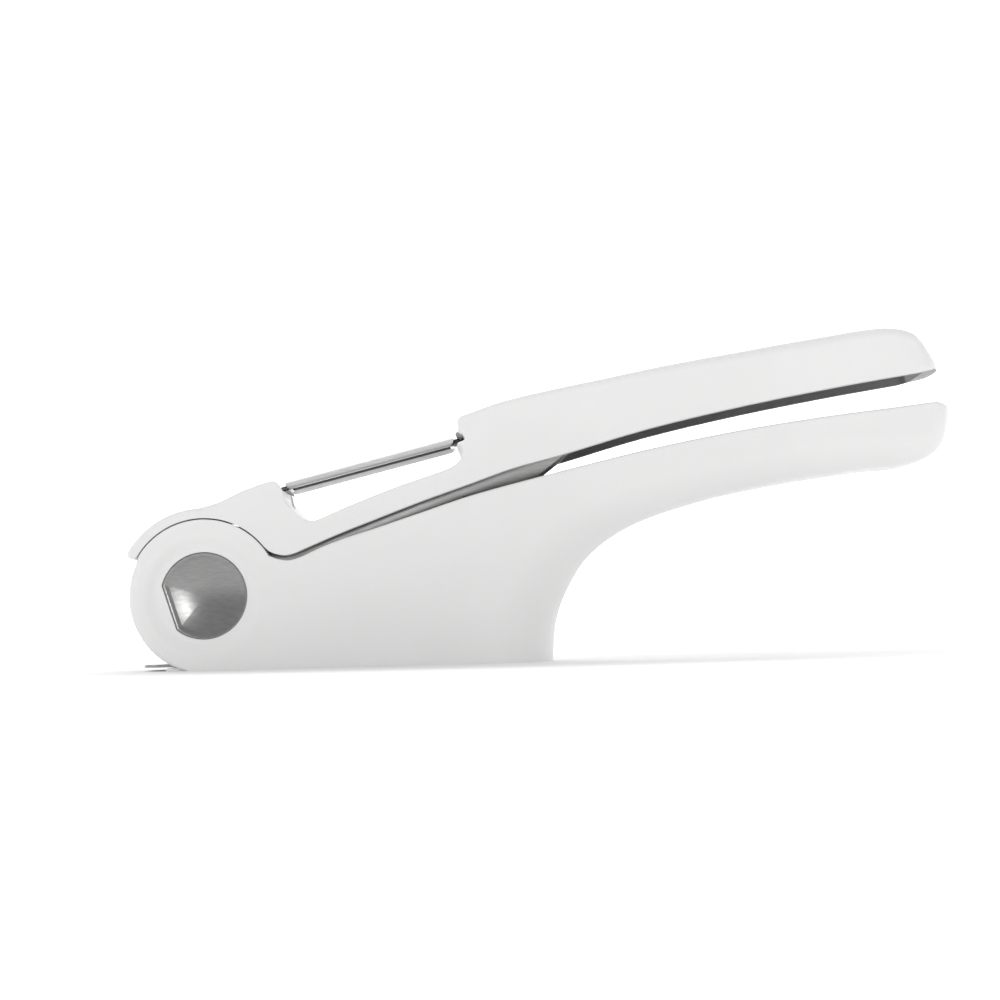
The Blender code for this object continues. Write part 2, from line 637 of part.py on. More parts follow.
def make_arm(parts, cutters, steel, parent):
    """Steel channel: a web with two side plates that run back to the hinge sleeve."""
    hub = arc(ARM_HUB_R, 52.0, 345.0, 26)
    under = [(14.0, 0.2), (17.0, 3.2), (24.5, 8.0), (52.5, 17.2), (78.2, 25.0)]
    end = [(86.6, 31.4), (WEB_END[0] - 0.6, WEB_END[1] - 2.2), WEB_END]
    upper = [WEB_START, (14.5, 9.6), (10.5, 9.2)]
    outline = join_runs((hub, 0.0), (under, 0.0), (end, 0.0), (upper, 0.0))
    arm = side_solid("press_arm", outline, ARM_HALF, parts, steel, parent)
    inner_start = web_point(19.0, -ARM_STEEL)
    inner_end = web_point(95.0, -ARM_STEEL)
    below = [(-14.0, -14.0), (80.0, -14.0), (98.0, 20.0), inner_end, inner_start, (16.6, 14.0),
             (-14.0, 14.0)]
    cut(arm, side_solid("arm_channel", join_runs((below, 0.0)), ARM_HALF - ARM_STEEL, cutters))
    cut(arm, rod("arm_bore", SLEEVE_R + FIT, 30.0, (0, 0, 0), (0, 1, 0), cutters, sides=36))
    normal = web_normal()
    upward = (normal[0], 0, normal[1])
    for x in ARM_SCREWS:
        spot = web_point(x, 0.0)
        cut(arm, rod("arm_screw_hole", 1.0 + FIT, 6.0, (spot[0], 0.0, spot[1]), upward, cutters, sides=12))
    for x in PUSHER_SCREWS:
        spot = web_point(x, 0.0)
        cut(arm, rod("countersink", 1.6, 2.4, (spot[0], 0.0, spot[1]), upward, cutters, sides=16, top=2.9))
    for name, x in (("arm_screw_front", ARM_SCREWS[0]), ("arm_screw_rear", ARM_SCREWS[1])):
        spot = web_point(x, -ARM_STEEL)
        thread = [(0.0, 2.9), (0.9, 2.7), (0.9, -0.25)]
        head = [(2.1, -0.25), (1.9, -1.1), (1.0, -1.5), (0.0, -1.6)]
        turned_solid(name, thread + head, (spot[0], 0.0, spot[1]), upward, parts, steel, parent, sides=16)
    return arm


def make_washers(parts, cutters, white, parent):
    """Plain washers between the arm's side plates and the body's cheeks."""
    for side in (-1, 1):
        name = "thrust_washer_left" if side > 0 else "thrust_washer_right"
        middle = side * (ARM_HALF + CHEEK_INNER) / 2
        place = (0, middle, 0)
        washer = rod(name, WASHER_R, WASHER_THICK, place, (0, 1, 0), parts, white, parent, sides=32)
        cut(washer, rod("washer_bore", SLEEVE_R + FIT, 3.0, place, (0, 1, 0), cutters, sides=32))


def make_pusher(parts, cutters, white, steel, parent):
    """The foot fits the chamber, and the stem rises between the arm's side plates."""
    sole = BASE + SIEVE_TOP + 0.4
    top = sole + 3.6
    front = CHAMBER_FRONT_R + 0.5
    rear = CHAMBER_REAR_R - 0.5
    foot = (arc(front, -degrees(asin(-sole / front)), -degrees(asin(-top / front)), 3)
            + arc(rear, -degrees(asin(-top / rear)), -degrees(asin(-sole / rear)), 2))
    foot = join_runs((turned(foot, CLOSING), 0.0))
    pusher = side_solid("pusher", foot, PUSHER_HALF, parts, white, parent)
    stem = [(30.6, top - 1.0), (43.8, top - 1.0), (43.4, 4.0)]
    stem = turned(stem, CLOSING) + [web_point(44.4, -ARM_STEEL - 0.4), web_point(30.8, -ARM_STEEL - 0.4)]
    combine(pusher, side_solid("pusher_stem", join_runs((stem, 0.0)), STEM_HALF, cutters), "UNION")
    for side in (-1, 1):
        core = turned([(32.6, top + 0.6), (41.6, top + 0.6), (41.2, 4.6), (32.6, 2.6)], CLOSING)
        cut(pusher, side_solid("stem_core", join_runs((core, 0.0)), 3.0, cutters, y=side * 4.2))
    normal = web_normal()
    upward = (normal[0], 0, normal[1])
    for name, x in zip(("pusher_screw_front", "pusher_screw_rear"), PUSHER_SCREWS):
        spot = web_point(x, -5.0)
        cut(pusher, rod("pusher_pilot", 1.0 + FIT, 9.0, (spot[0], 0.0, spot[1]), upward, cutters, sides=14))
        spot = web_point(x, 0.0)
        profile = [(0.0, -0.1), (2.1, -0.1), (2.1, -0.3), (1.0, -1.25), (1.0, -8.0), (0.0, -8.6)]
        turned_solid(name, profile, (spot[0], 0.0, spot[1]), upward, parts, steel, parent, sides=16)
    return pusher


def make_blade(parts, cutters, steel, lever_pivot, blade_pivot):
    """Swivel blade: an arched strip with a cutting slot, closed at its ends, on two short pins."""
    along = blade_direction()
    length = hypot(BLADE_END[0] - BLADE_START[0], BLADE_END[1] - BLADE_START[1])
    frame = blade_frame()
    half_angle = asin(BLADE_HALF_CHORD / BLADE_ARC_R)
    centre_drop = BLADE_ARC_R - BLADE_CROWN
    section = []
    steps = 8
    for i in range(steps + 1):
        angle = -half_angle + 2 * half_angle * i / steps
        section.append((BLADE_ARC_R * sin(angle), BLADE_ARC_R * cos(angle) - centre_drop))
    inner_r = BLADE_ARC_R - BLADE_STEEL
    for i in range(steps + 1):
        angle = half_angle - 2 * half_angle * i / steps
        section.append((inner_r * sin(angle), inner_r * cos(angle) - centre_drop))
    mesh = bpy.data.meshes.new("peeler_blade")
    bm = bmesh.new()
    first = 1.9
    last = length - 1.9
    ring = [bm.verts.new((first * MM, y * MM, z * MM)) for y, z in section]
    face = bm.faces.new(ring)
    grown = bmesh.ops.extrude_face_region(bm, geom=[face])
    moved = [v for v in grown["geom"] if isinstance(v, bmesh.types.BMVert)]
    bmesh.ops.translate(bm, vec=((last - first) * MM, 0, 0), verts=moved)
    bmesh.ops.recalc_face_normals(bm, faces=bm.faces)
    bm.to_mesh(mesh)
    bm.free()
    blade = bpy.data.objects.new("peeler_blade", mesh)
    blade.matrix_world = frame
    finish_mesh(mesh, steel)
    place(blade, parts, blade_pivot)

    outline = [(first - 4, -9.0), (last + 4, -9.0), (last + 4, 9.0), (first - 4, 9.0)]
    slot = [(5.0, -0.9), (length / 2, -0.55), (length - 6.0, -0.9), (length - 5.0, 0.0), (length - 6.0, 0.9),
            (length / 2, 0.55), (5.0, 0.9), (4.0, 0.0)]
    combine(blade, blade_cutter("blade_plan", blade_plan(first, last), 12.0, frame, cutters), "INTERSECT")
    cut(blade, blade_cutter("blade_slot", slot, 12.0, frame, cutters))
    for at in (first, last - 1.6):
        lug = bpy.data.objects.new("blade_lug", box_mesh("blade_lug", (1.6, 3.4, 2.5)))
        lug.matrix_world = frame @ Matrix.Translation(((at + 0.8) * MM, 0, 0.1 * MM))
        place(lug, cutters)
        combine(blade, lug, "UNION")
    bore = bpy.data.objects.new("blade_bore", round_mesh("blade_bore", PIN_R + 0.25, length + 10))
    bore.matrix_world = frame @ Matrix.Translation((length / 2 * MM, 0, 0)) @ Matrix.Rotation(pi / 2, 4, "Y")
    place(bore, cutters)
    cut(blade, bore)

    for name, at, long in (("peeler_pin_front", -0.3, 6.6), ("peeler_pin_rear", length - 0.4, 5.4)):
        pin = bpy.data.objects.new(name, round_mesh(name, PIN_R, long))
        pin.matrix_world = frame @ Matrix.Translation((at * MM, 0, 0)) @ Matrix.Rotation(pi / 2, 4, "Y")
        finish_mesh(pin.data, steel)
        place(pin, parts, lever_pivot)
    return blade


def blade_plan(first, last):
    """Plan of the blade along its own length: full in the middle, narrower at the ends."""
    side = smooth([(first, 1.8), (first + 1.6, 2.6), (first + 5.0, 4.4), (first + 9.0, 4.95), (last - 9.0, 4.95),
                   (last - 5.0, 4.4), (last - 1.6, 2.6), (last, 1.8)], 2)
    return side + [(x, -y) for x, y in reversed(side)]


def blade_frame():
    """Matrix of the blade: its X runs along the swivel axis, rolled a little towards the front side."""
    along = blade_direction()
    lean = Matrix.Rotation(-atan2(along[1], along[0]), 4, "Y")
    origin = Matrix.Translation(((HINGE_X + BLADE_START[0]) * MM, 0, (HINGE_Z + BLADE_START[1]) * MM))
    return origin @ lean @ Matrix.Rotation(radians(BLADE_ROLL), 4, "X")


def blade_cutter(name, outline, height, frame, cutters):
    """Cutter with an outline in the blade's own plan."""
    return place(drawn_solid(name, outline, [0.0] * len(outline), height / 2, frame), cutters)


def box_mesh(name, size):
    bm = bmesh.new()
    bmesh.ops.create_cube(bm, size=1.0)
    bmesh.ops.scale(bm, vec=[s * MM for s in size], verts=bm.verts)
    mesh = bpy.data.meshes.new(name)
    bm.to_mesh(mesh)
    bm.free()
    return mesh


def round_mesh(name, radius, length, sides=12):
    bm = bmesh.new()
    bmesh.ops.create_cone(bm, cap_ends=True, segments=sides, radius1=radius * MM, radius2=radius * MM,
                          depth=length * MM)
    mesh = bpy.data.meshes.new(name)
    bm.to_mesh(mesh)
    bm.free()
    return mesh


def pivot(name, matrix, parent=None):
    """An empty on a joint's axis, which carries the pieces that move about it."""
    empty = bpy.data.objects.new(name, None)
    empty.matrix_world = matrix
    bpy.context.scene.collection.objects.link(empty)
    bpy.context.view_layer.update()
    if parent is not None:
        empty.parent = parent
        empty.matrix_world = matrix
        bpy.context.view_layer.update()
    return empty


def main():
    start_clean()
    parts = new_collection("garlic_press")
    cutters = new_collection("cutters")
    white = material("white_plastic", (0.80, 0.80, 0.79), 0.38, 0.0)
    steel = material("stainless_steel", (0.62, 0.61, 0.60), 0.22, 1.0)
    hinge = pivot("lever_pivot", Matrix.Translation((HINGE_X * MM, 0, HINGE_Z * MM)))
    swivel = pivot("blade_pivot", blade_frame(), hinge)
    slide = pivot("sieve_pivot", Matrix.Translation((HINGE_X * MM, 0, SIEVE_BOTTOM * MM)))
    make_body(parts, cutters, white)
    make_base_frame(parts, cutters, white, steel)
    make_hopper(parts, cutters, steel)
    make_sieve(parts, cutters, steel, slide)
    make_axle(parts, cutters, steel)
    make_lever(parts, cutters, white, hinge)
    make_arm(parts, cutters, steel, hinge)
    make_washers(parts, cutters, white, hinge)
    make_pusher(parts, cutters, white, steel, hinge)
    make_blade(parts, cutters, steel, hinge, swivel)


main()
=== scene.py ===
"""Visual model of a garlic press with a peeler blade in its lever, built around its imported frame."""

from math import acos, asin, atan2, cos, degrees, hypot, pi, radians, sin, sqrt

import bmesh
import bpy
from mathutils import Matrix, Vector


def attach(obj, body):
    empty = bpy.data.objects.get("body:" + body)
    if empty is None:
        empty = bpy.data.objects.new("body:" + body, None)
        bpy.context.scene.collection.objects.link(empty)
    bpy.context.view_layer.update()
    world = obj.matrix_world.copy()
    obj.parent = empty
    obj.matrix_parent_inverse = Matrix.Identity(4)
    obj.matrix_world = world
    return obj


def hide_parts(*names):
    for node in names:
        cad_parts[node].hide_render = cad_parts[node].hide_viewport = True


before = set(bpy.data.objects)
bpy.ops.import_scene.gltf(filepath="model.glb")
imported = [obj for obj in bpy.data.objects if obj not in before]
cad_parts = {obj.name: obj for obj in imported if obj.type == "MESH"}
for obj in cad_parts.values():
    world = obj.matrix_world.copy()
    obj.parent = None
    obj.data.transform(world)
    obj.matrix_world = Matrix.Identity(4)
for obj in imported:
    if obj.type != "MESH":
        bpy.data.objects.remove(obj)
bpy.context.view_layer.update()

bl_info = {
    "name": "Garlic Press",
    "version": (1, 0, 0),
    "blender": (4, 5, 0),
    "location": "3D View > Sidebar > Garlic Press",
    "description": "Builds the visual model of a garlic press, piece by piece, and its stage",
    "category": "Add Mesh",
}

MM = 0.001

# The hinge axis, in millimetres. Side outlines are (x, z) from it.
HINGE_X = -81.8
HINGE_Z = 17.9
HALF = 14.0
BASE = -HINGE_Z

# Boss and hinge plugs
BOSS_R = 18.36
CHEEK_INNER = 9.0
CAVITY_R = 14.9
PLUG_R = 10.5
PLUG_FLAT = 8.86
PLUG_FLAT_ANGLE = 197.7
DISH_R = 14.9
SPIGOT_R = 5.1
SPIGOT_END = 6.0

# Lever wrap
WRAP_INNER_R = 18.65
WRAP_OUTER_R = 21.2
WRAP_END = 148.5

# Chamber
FRONT_R = 24.5
REAR_R = 50.0
CHAMBER_HALF = 10.5

# Peeler blade: its axis, seen from the side
BLADE_START = (17.4, 25.9)
BLADE_END = (62.5, 36.7)
BLADE_ROLL = -6.0
BLADE_OUTER = 5.76
BLADE_CROWN = 1.75

RING_STEPS = 18
# Painted shade: the share of the plastic's colour kept on the walls and roof of the hollows.
PAINTED_HOLLOW_SHADE = 0.42


# ------------------------------------------------------------------ settings


def length(label, about, value):
    """A length property, in metres."""
    return bpy.props.FloatProperty(name=label, description=about, default=value, min=0.0, unit="LENGTH", precision=5)


def colour(label, about, value):
    """A colour property."""
    return bpy.props.FloatVectorProperty(name=label, description=about, default=value, size=3, min=0.0, max=1.0,
                                         subtype="COLOR")


class PressSizes(bpy.types.PropertyGroup):
    """Sizes of the edges, hollows and sheet that the pieces share"""

    boss_fillet: length("Boss rounding", "Rounding of the boss's open edge", 0.0026)
    rear_rounding: length("Rear rounding", "Rounding of the body's rear, nearly half its width", 0.0134)
    grip_rounding: length("Grip rounding", "Rounding under the lower handle", 0.0092)
    lip: length("Lip rounding", "Rounding of the body's upper edges", 0.0007)
    lever_edge: length("Lever rounding", "Rounding of the lever's upper edges", 0.0012)
    skin: length("Lever wall", "Thickness of the lever's side walls", 0.0024)
    dish_depth: length("Dish depth", "Depth of the dished ring round each hinge plug", 0.0009)
    plug_sag: length("Plug sag", "How far the middle of a hinge plug lies below its edge", 0.0011)
    blade_steel: length("Blade steel", "Thickness of the blade's steel", 0.0006)
    sieve_hole: length("Strainer hole", "Radius of one hole of the strainer", 0.00095)
    eased: length("Eased edge", "Bevel on the edges of sheet steel and small pieces", 0.00016)


class PressColours(bpy.types.PropertyGroup):
    """Colours of the press"""

    shell: colour("Shell", "White plastic of the body and the lever", (0.80, 0.80, 0.797))
    insert: colour("Inserts", "Plastic of the pusher and the washers", (0.70, 0.70, 0.685))
    sheet: colour("Sheet steel", "Arm, hopper, strainer and sleeve", (0.32, 0.32, 0.317))
    polished: colour("Polished steel", "Hinge plugs", (0.25, 0.25, 0.248))
    blade: colour("Blade steel", "Peeler blade and its pins", (0.52, 0.52, 0.516))
    fastener: colour("Screws", "Screws", (0.55, 0.55, 0.54))


class StageSettings(bpy.types.PropertyGroup):
    """Floor, lights and camera"""

    floor: colour("Floor", "Colour of the floor", (0.80, 0.80, 0.80))
    room: bpy.props.FloatProperty(name="Room", description="Brightness of the room", default=0.6, min=0.0)
    key: bpy.props.FloatProperty(name="Key light", description="Power of the main soft light", default=2.7, min=0.0,
                                 unit="POWER")
    lens: bpy.props.FloatProperty(name="Lens", description="Focal length", default=69.9, min=1.0, subtype="DISTANCE_CAMERA")


# ------------------------------------------------------------------ outlines


def arc(radius, start, end, steps, centre=(0.0, 0.0)):
    """Points on an arc, angles in degrees."""
    points = []
    for i in range(steps + 1):
        angle = radians(start + (end - start) * i / steps)
        points.append((centre[0] + radius * cos(angle), centre[1] + radius * sin(angle)))
    return points


def smooth(points, steps=4):
    """A soft run through the points, each stretch split into steps."""
    points = [Vector(point) for point in points]
    ends = [2 * points[0] - points[1]] + points + [2 * points[-1] - points[-2]]
    run = []
    for before, here, there, after in zip(ends, ends[1:], ends[2:], ends[3:]):
        first, middle, last = (sqrt((q - p).length) for p, q in ((before, here), (here, there), (there, after)))
        leave = (there - here) + middle * ((here - before) / first - (there - before) / (first + middle))
        reach = (there - here) + middle * ((after - there) / last - (after - here) / (middle + last))
        for k in range(steps):
            t = k / steps
            run.append(here * (2 * t ** 3 - 3 * t ** 2 + 1) + leave * (t ** 3 - 2 * t ** 2 + t)
                       + there * (3 * t ** 2 - 2 * t ** 3) + reach * (t ** 3 - t ** 2))
    run.append(points[-1])
    return [tuple(point) for point in run]


def rounded(points, start, end):
    """Adds a rounding to each point, from start at the first to end at the last."""
    last = len(points) - 1
    return [(x, z, start + (end - start) * i / last) for i, (x, z) in enumerate(points)]


def outline(*runs):
    """One closed outline of (x, z, rounding), with points that fall together taken as one."""
    rows = []
    for run in runs:
        for x, z, rounding in run:
            if rows and hypot(x - rows[-1][0], z - rows[-1][1]) < 0.02:
                rows.pop()
            rows.append((x, z, rounding))
    if hypot(rows[0][0] - rows[-1][0], rows[0][1] - rows[-1][1]) < 0.02:
        rows.pop()
    return rows


def inward(here, there):
    """Unit normal to the left of the way from here to there."""
    dx = there[0] - here[0]
    dz = there[1] - here[1]
    size = hypot(dx, dz)
    return -dz / size, dx / size


def inset(rows, amounts):
    """The outline drawn in, the stretch after point i by amounts[i]."""
    count = len(rows)
    moved = []
    for i, here in enumerate(rows):
        first = inward(rows[i - 1], here)
        second = inward(here, rows[(i + 1) % count])
        back = amounts[i - 1]
        on = amounts[i]
        turn = first[0] * second[1] - first[1] * second[0]
        if abs(turn) > 0.17:
            dx = (back * second[1] - on * first[1]) / turn
            dz = (first[0] * on - second[0] * back) / turn
        else:
            nx = first[0] + second[0]
            nz = first[1] + second[1]
            size = hypot(nx, nz)
            mean = (back + on) / 2
            dx = nx / size * mean
            dz = nz / size * mean
        moved.append((here[0] + dx, here[1] + dz))
    return moved


def at(x, y, z):
    """A place in metres, from millimetres along, across and up from the hinge axis."""
    return Vector(((HINGE_X + x) * MM, y * MM, (HINGE_Z + z) * MM))


def between(table, value):
    """Straight interpolation in a table of (value, result), level beyond its ends."""
    if value <= table[0][0]:
        return table[0][1]
    for (low, first), (high, second) in zip(table, table[1:]):
        if value <= high:
            return first + (second - first) * (value - low) / (high - low)
    return table[-1][1]


# ------------------------------------------------------------ modelling tools


def deselect():
    if bpy.context.object is not None and bpy.context.object.mode != "OBJECT":
        bpy.ops.object.mode_set(mode="OBJECT")
    bpy.ops.object.select_all(action="DESELECT")


def pick(item):
    deselect()
    item.select_set(True)
    bpy.context.view_layer.objects.active = item


def loft(name, rings):
    """A closed solid: a filled circle shaped to the first ring, then extruded on from ring to ring."""
    deselect()
    bpy.ops.mesh.primitive_circle_add(vertices=len(rings[0]), radius=MM, fill_type="NGON")
    made = bpy.context.object
    made.name = name
    made.data.name = name
    bpy.ops.object.mode_set(mode="EDIT")
    mesh = bmesh.from_edit_mesh(made.data)
    mesh.verts.ensure_lookup_table()
    for vert, spot in zip(mesh.verts, rings[0]):
        vert.co = spot
    bmesh.update_edit_mesh(made.data)
    for ring in rings[1:]:
        mesh = bmesh.from_edit_mesh(made.data)
        order = {}
        below = [v for v in mesh.verts if v.select]
        if len(below) != len(ring):
            raise ValueError(name + ": the rings differ in their number of points")
        for i, vert in enumerate(sorted(below, key=lambda v: v.index)):
            order[vert.co.to_tuple()] = i
        if len(order) != len(ring):
            raise ValueError(name + ": two points of a ring fall together")
        bpy.ops.mesh.extrude_region_move()
        mesh = bmesh.from_edit_mesh(made.data)
        for vert in [v for v in mesh.verts if v.select]:
            vert.co = ring[order[vert.co.to_tuple()]]
        mesh.verts.index_update()
        bmesh.update_edit_mesh(made.data)
    close_up(made)
    return made


def close_up(made):
    """Points every face outwards and leaves edit mode."""
    bpy.ops.mesh.select_all(action="SELECT")
    bpy.ops.mesh.normals_make_consistent(inside=False)
    bpy.ops.object.mode_set(mode="OBJECT")
    pick(made)
    bpy.ops.object.transform_apply(location=True, rotation=True, scale=True)
    return made


def prism(name, points, half, y=0.0):
    """A side outline made solid across the press."""
    return loft(name, [[at(p[0], y + side * half, p[1]) for p in points] for side in (-1, 1)])


def plate(name, points, low, high):
    """A plan outline of (x, y) made solid between two heights over the base."""
    return loft(name, [[at(x, y, BASE + level) for x, y in points] for level in (low, high)])


def bar(name, radius, start, end, sides=32, far_radius=None):
    """A round bar or cone between two places in millimetres."""
    first = at(*start)
    last = at(*end)
    way = (last - first).normalized()
    side = way.orthogonal().normalized()
    other = way.cross(side)
    rings = []
    for centre, size in ((first, radius), (last, radius if far_radius is None else far_radius)):
        rings.append([centre + (side * cos(2 * pi * i / sides) + other * sin(2 * pi * i / sides)) * size * MM
                      for i in range(sides)])
    return loft(name, rings)


def lathe(name, profile, side, sides=96):
    """A piece turned about the hinge axis: the profile is (radius, distance across) from the middle out."""
    rings = []
    for radius, across in profile:
        rings.append([at(radius * cos(2 * pi * i / sides), side * across, radius * sin(2 * pi * i / sides))
                      for i in range(sides)])
    return loft(name, rings)


def carve(piece, tool, operation="DIFFERENCE"):
    """Cuts, joins or keeps with a tool, which is then gone."""
    pick(piece)
    step = piece.modifiers.new(operation.lower(), "BOOLEAN")
    step.operation = operation
    step.solver = "EXACT"
    step.object = tool
    bpy.ops.object.modifier_apply(modifier=step.name)
    used = tool.data
    bpy.data.objects.remove(tool, do_unlink=True)
    bpy.data.meshes.remove(used)


def soften(piece, width, angle=35.0, segments=2):
    """Bevels every edge sharper than the angle."""
    pick(piece)
    step = piece.modifiers.new("eased edges", "BEVEL")
    step.limit_method = "ANGLE"
    step.angle_limit = radians(angle)
    step.width = width
    step.segments = segments
    step.use_clamp_overlap = True
    bpy.ops.object.modifier_apply(modifier=step.name)


def tidy_faces(piece, angle=0.4):
    """Merges doubles and joins faces that lie in one plane."""
    pick(piece)
    bpy.ops.object.mode_set(mode="EDIT")
    bpy.ops.mesh.select_all(action="SELECT")
    bpy.ops.mesh.remove_doubles(threshold=0.000002)
    bpy.ops.mesh.dissolve_limited(angle_limit=radians(angle))
    bpy.ops.mesh.normals_make_consistent(inside=False)
    bpy.ops.object.mode_set(mode="OBJECT")


def shade(piece, angle=30.0):
    pick(piece)
    bpy.ops.object.shade_smooth_by_angle(angle=radians(angle))


def place(piece, finish, slot, body, *nodes):
    """Gives a finished piece its material, and hangs it on its body in place of the frame's nodes."""
    piece.data.materials.clear()
    piece.data.materials.append(finish)
    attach(piece, body)
    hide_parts(*nodes)
    deselect()


def refined(name, node, width, angle=35.0):
    """A copy of a frame node, with one face to each flat and its edges eased."""
    made = bpy.data.objects.new(name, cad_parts[node].data.copy())
    made.data.name = name
    bpy.context.scene.collection.objects.link(made)
    pick(made)
    bpy.ops.mesh.customdata_custom_splitnormals_clear()
    tidy_faces(made)
    soften(made, width, angle)
    shade(made, 40.0)
    return made


def edge_drop(rounding, across):
    """How far an edge of this rounding is drawn in at a distance across from the middle."""
    past = across - (HALF - rounding)
    if rounding <= 0.0 or past <= 0.0:
        return 0.0
    return rounding - sqrt(max(rounding ** 2 - past ** 2, 0.0))


def unfolded(rows, hold):
    """The outline with its roundings cut back wherever a tight corner would fold over itself."""
    rows = list(rows)
    count = len(rows)
    while True:
        moved = inset(rows, [row[2] + hold for row in rows])
        folded = set()
        for i in range(count):
            k = (i + 1) % count
            old = (rows[k][0] - rows[i][0], rows[k][1] - rows[i][1])
            new = (moved[k][0] - moved[i][0], moved[k][1] - moved[i][1])
            if old[0] * new[0] + old[1] * new[1] < 0.12 * (old[0] ** 2 + old[1] ** 2):
                folded.update(((i - 1) % count, i, k, (i + 2) % count))
        if not folded:
            return rows
        for i in folded:
            rows[i] = (rows[i][0], rows[i][1], rows[i][2] * 0.93)


def shell(name, rows, nose_start, bulge=None):
    """A rounded slab: the side outline swept across the press, drawn in towards each face."""
    rows = unfolded(rows, 0.2)
    levels = [HALF * sin(pi / 2 * k / RING_STEPS) for k in range(-RING_STEPS, RING_STEPS + 1)]
    rings = []
    for k, y in enumerate([levels[0]] + levels + [levels[-1]]):
        across = abs(y)
        hold = 0.2 if k in (0, len(levels) + 1) else 0.0
        amounts = [edge_drop(row[2], across) + hold for row in rows]
        fit = sqrt(1.0 - (across / HALF) ** 3 * 0.985)
        ring = []
        for x, z in inset(rows, amounts):
            if bulge is not None:
                x += bulge(x, z) * (1.0 - (across / HALF) ** 3)
            if x > nose_start:
                x = nose_start + (x - nose_start) * fit
            ring.append(at(x, y, z))
        rings.append(ring)
    return loft(name, rings)


# ----------------------------------------------------------------- materials


def wire(tree, source, output, target, socket):
    tree.links.new(source.outputs[output], target.inputs[socket])


def noise(tree, coords, scale, detail=3.0, stretch=None):
    """A noise texture on the piece's own coordinates, stretched if asked."""
    made = tree.nodes.new("ShaderNodeTexNoise")
    made.inputs["Scale"].default_value = scale
    made.inputs["Detail"].default_value = detail
    if stretch is None:
        wire(tree, coords, "Object", made, "Vector")
        return made
    mapping = tree.nodes.new("ShaderNodeMapping")
    mapping.inputs["Scale"].default_value = stretch[0]
    mapping.inputs["Rotation"].default_value = stretch[1]
    wire(tree, coords, "Object", mapping, "Vector")
    wire(tree, mapping, "Vector", made, "Vector")
    return made


def spread(tree, source, low, high, socket="Fac"):
    """Maps a noise onto a range."""
    made = tree.nodes.new("ShaderNodeMapRange")
    made.inputs["From Min"].default_value = 0.3
    made.inputs["From Max"].default_value = 0.7
    made.inputs["To Min"].default_value = low
    made.inputs["To Max"].default_value = high
    wire(tree, source, socket, made, "Value")
    return made


def shades(tree, source, dark, light):
    """A ramp between two colours."""
    made = tree.nodes.new("ShaderNodeValToRGB")
    made.color_ramp.elements[0].position = 0.35
    made.color_ramp.elements[0].color = (*dark, 1.0)
    made.color_ramp.elements[1].position = 0.65
    made.color_ramp.elements[1].color = (*light, 1.0)
    wire(tree, source, "Fac", made, "Fac")
    return made


def worn(tree, base, tint, amount):
    """Mixes a tint into a colour along the outer edges."""
    shape = tree.nodes.new("ShaderNodeNewGeometry")
    edge = tree.nodes.new("ShaderNodeMapRange")
    edge.inputs["From Min"].default_value = 0.53
    edge.inputs["From Max"].default_value = 0.62
    edge.inputs["To Min"].default_value = 0.0
    edge.inputs["To Max"].default_value = amount
    wire(tree, shape, "Pointiness", edge, "Value")
    mix = tree.nodes.new("ShaderNodeMix")
    mix.data_type = "RGBA"
    tree.links.new(edge.outputs["Result"], mix.inputs[0])
    tree.links.new(base.outputs["Color"], mix.inputs[6])
    mix.inputs[7].default_value = (*tint, 1.0)
    return mix


def scaled(shade_of, factor):
    return tuple(min(channel * factor, 1.0) for channel in shade_of)


def new_finish(name):
    made = bpy.data.materials.new(name)
    made.use_nodes = True
    return made, made.node_tree, made.node_tree.nodes["Principled BSDF"]


def stepped(tree, source, output, low, high):
    """Rises from 0 to 1 as a value goes from low to high."""
    made = tree.nodes.new("ShaderNodeMapRange")
    made.inputs["From Min"].default_value = low
    made.inputs["From Max"].default_value = high
    wire(tree, source, output, made, "Value")
    return made


def sums(tree, operation, first, output, second, other):
    made = tree.nodes.new("ShaderNodeMath")
    made.operation = operation
    wire(tree, first, output, made, 0)
    wire(tree, second, other, made, 1)
    return made


def paint_hollow_shade(tree, shader, coords):
    """Paints shade on the walls that face the middle plane, and on the roof of the lever's hollow."""
    place_of = tree.nodes.new("ShaderNodeSeparateXYZ")
    wire(tree, coords, "Object", place_of, "Vector")
    facing = tree.nodes.new("ShaderNodeSeparateXYZ")
    wire(tree, coords, "Normal", facing, "Vector")
    inward_facing = sums(tree, "MULTIPLY", place_of, "Y", facing, "Y")
    walls = stepped(tree, inward_facing, "Value", -0.002, -0.006)
    across = tree.nodes.new("ShaderNodeMath")
    across.operation = "ABSOLUTE"
    wire(tree, place_of, "Y", across, 0)
    inside = stepped(tree, across, "Value", (HALF - 2.2) * MM, (HALF - 2.5) * MM)
    below = stepped(tree, facing, "Z", -0.3, -0.6)
    slope = tree.nodes.new("ShaderNodeMath")
    slope.operation = "MULTIPLY_ADD"
    slope.inputs[1].default_value = -0.24
    wire(tree, place_of, "X", slope, 0)
    wire(tree, place_of, "Z", slope, 2)
    upper = stepped(tree, slope, "Value", 0.0325, 0.033)
    roof = sums(tree, "MULTIPLY", sums(tree, "MULTIPLY", inside, "Result", below, "Result"), "Value", upper, "Result")
    both = sums(tree, "MAXIMUM", walls, "Result", roof, "Value")
    keep = tree.nodes.new("ShaderNodeMapRange")
    keep.inputs["To Min"].default_value = 1.0
    keep.inputs["To Max"].default_value = PAINTED_HOLLOW_SHADE
    wire(tree, both, "Value", keep, "Value")
    before = shader.inputs["Base Color"].links[0].from_socket
    shaded = tree.nodes.new("ShaderNodeVectorMath")
    shaded.operation = "SCALE"
    tree.links.new(before, shaded.inputs[0])
    wire(tree, keep, "Result", shaded, "Scale")
    wire(tree, shaded, "Vector", shader, "Base Color")


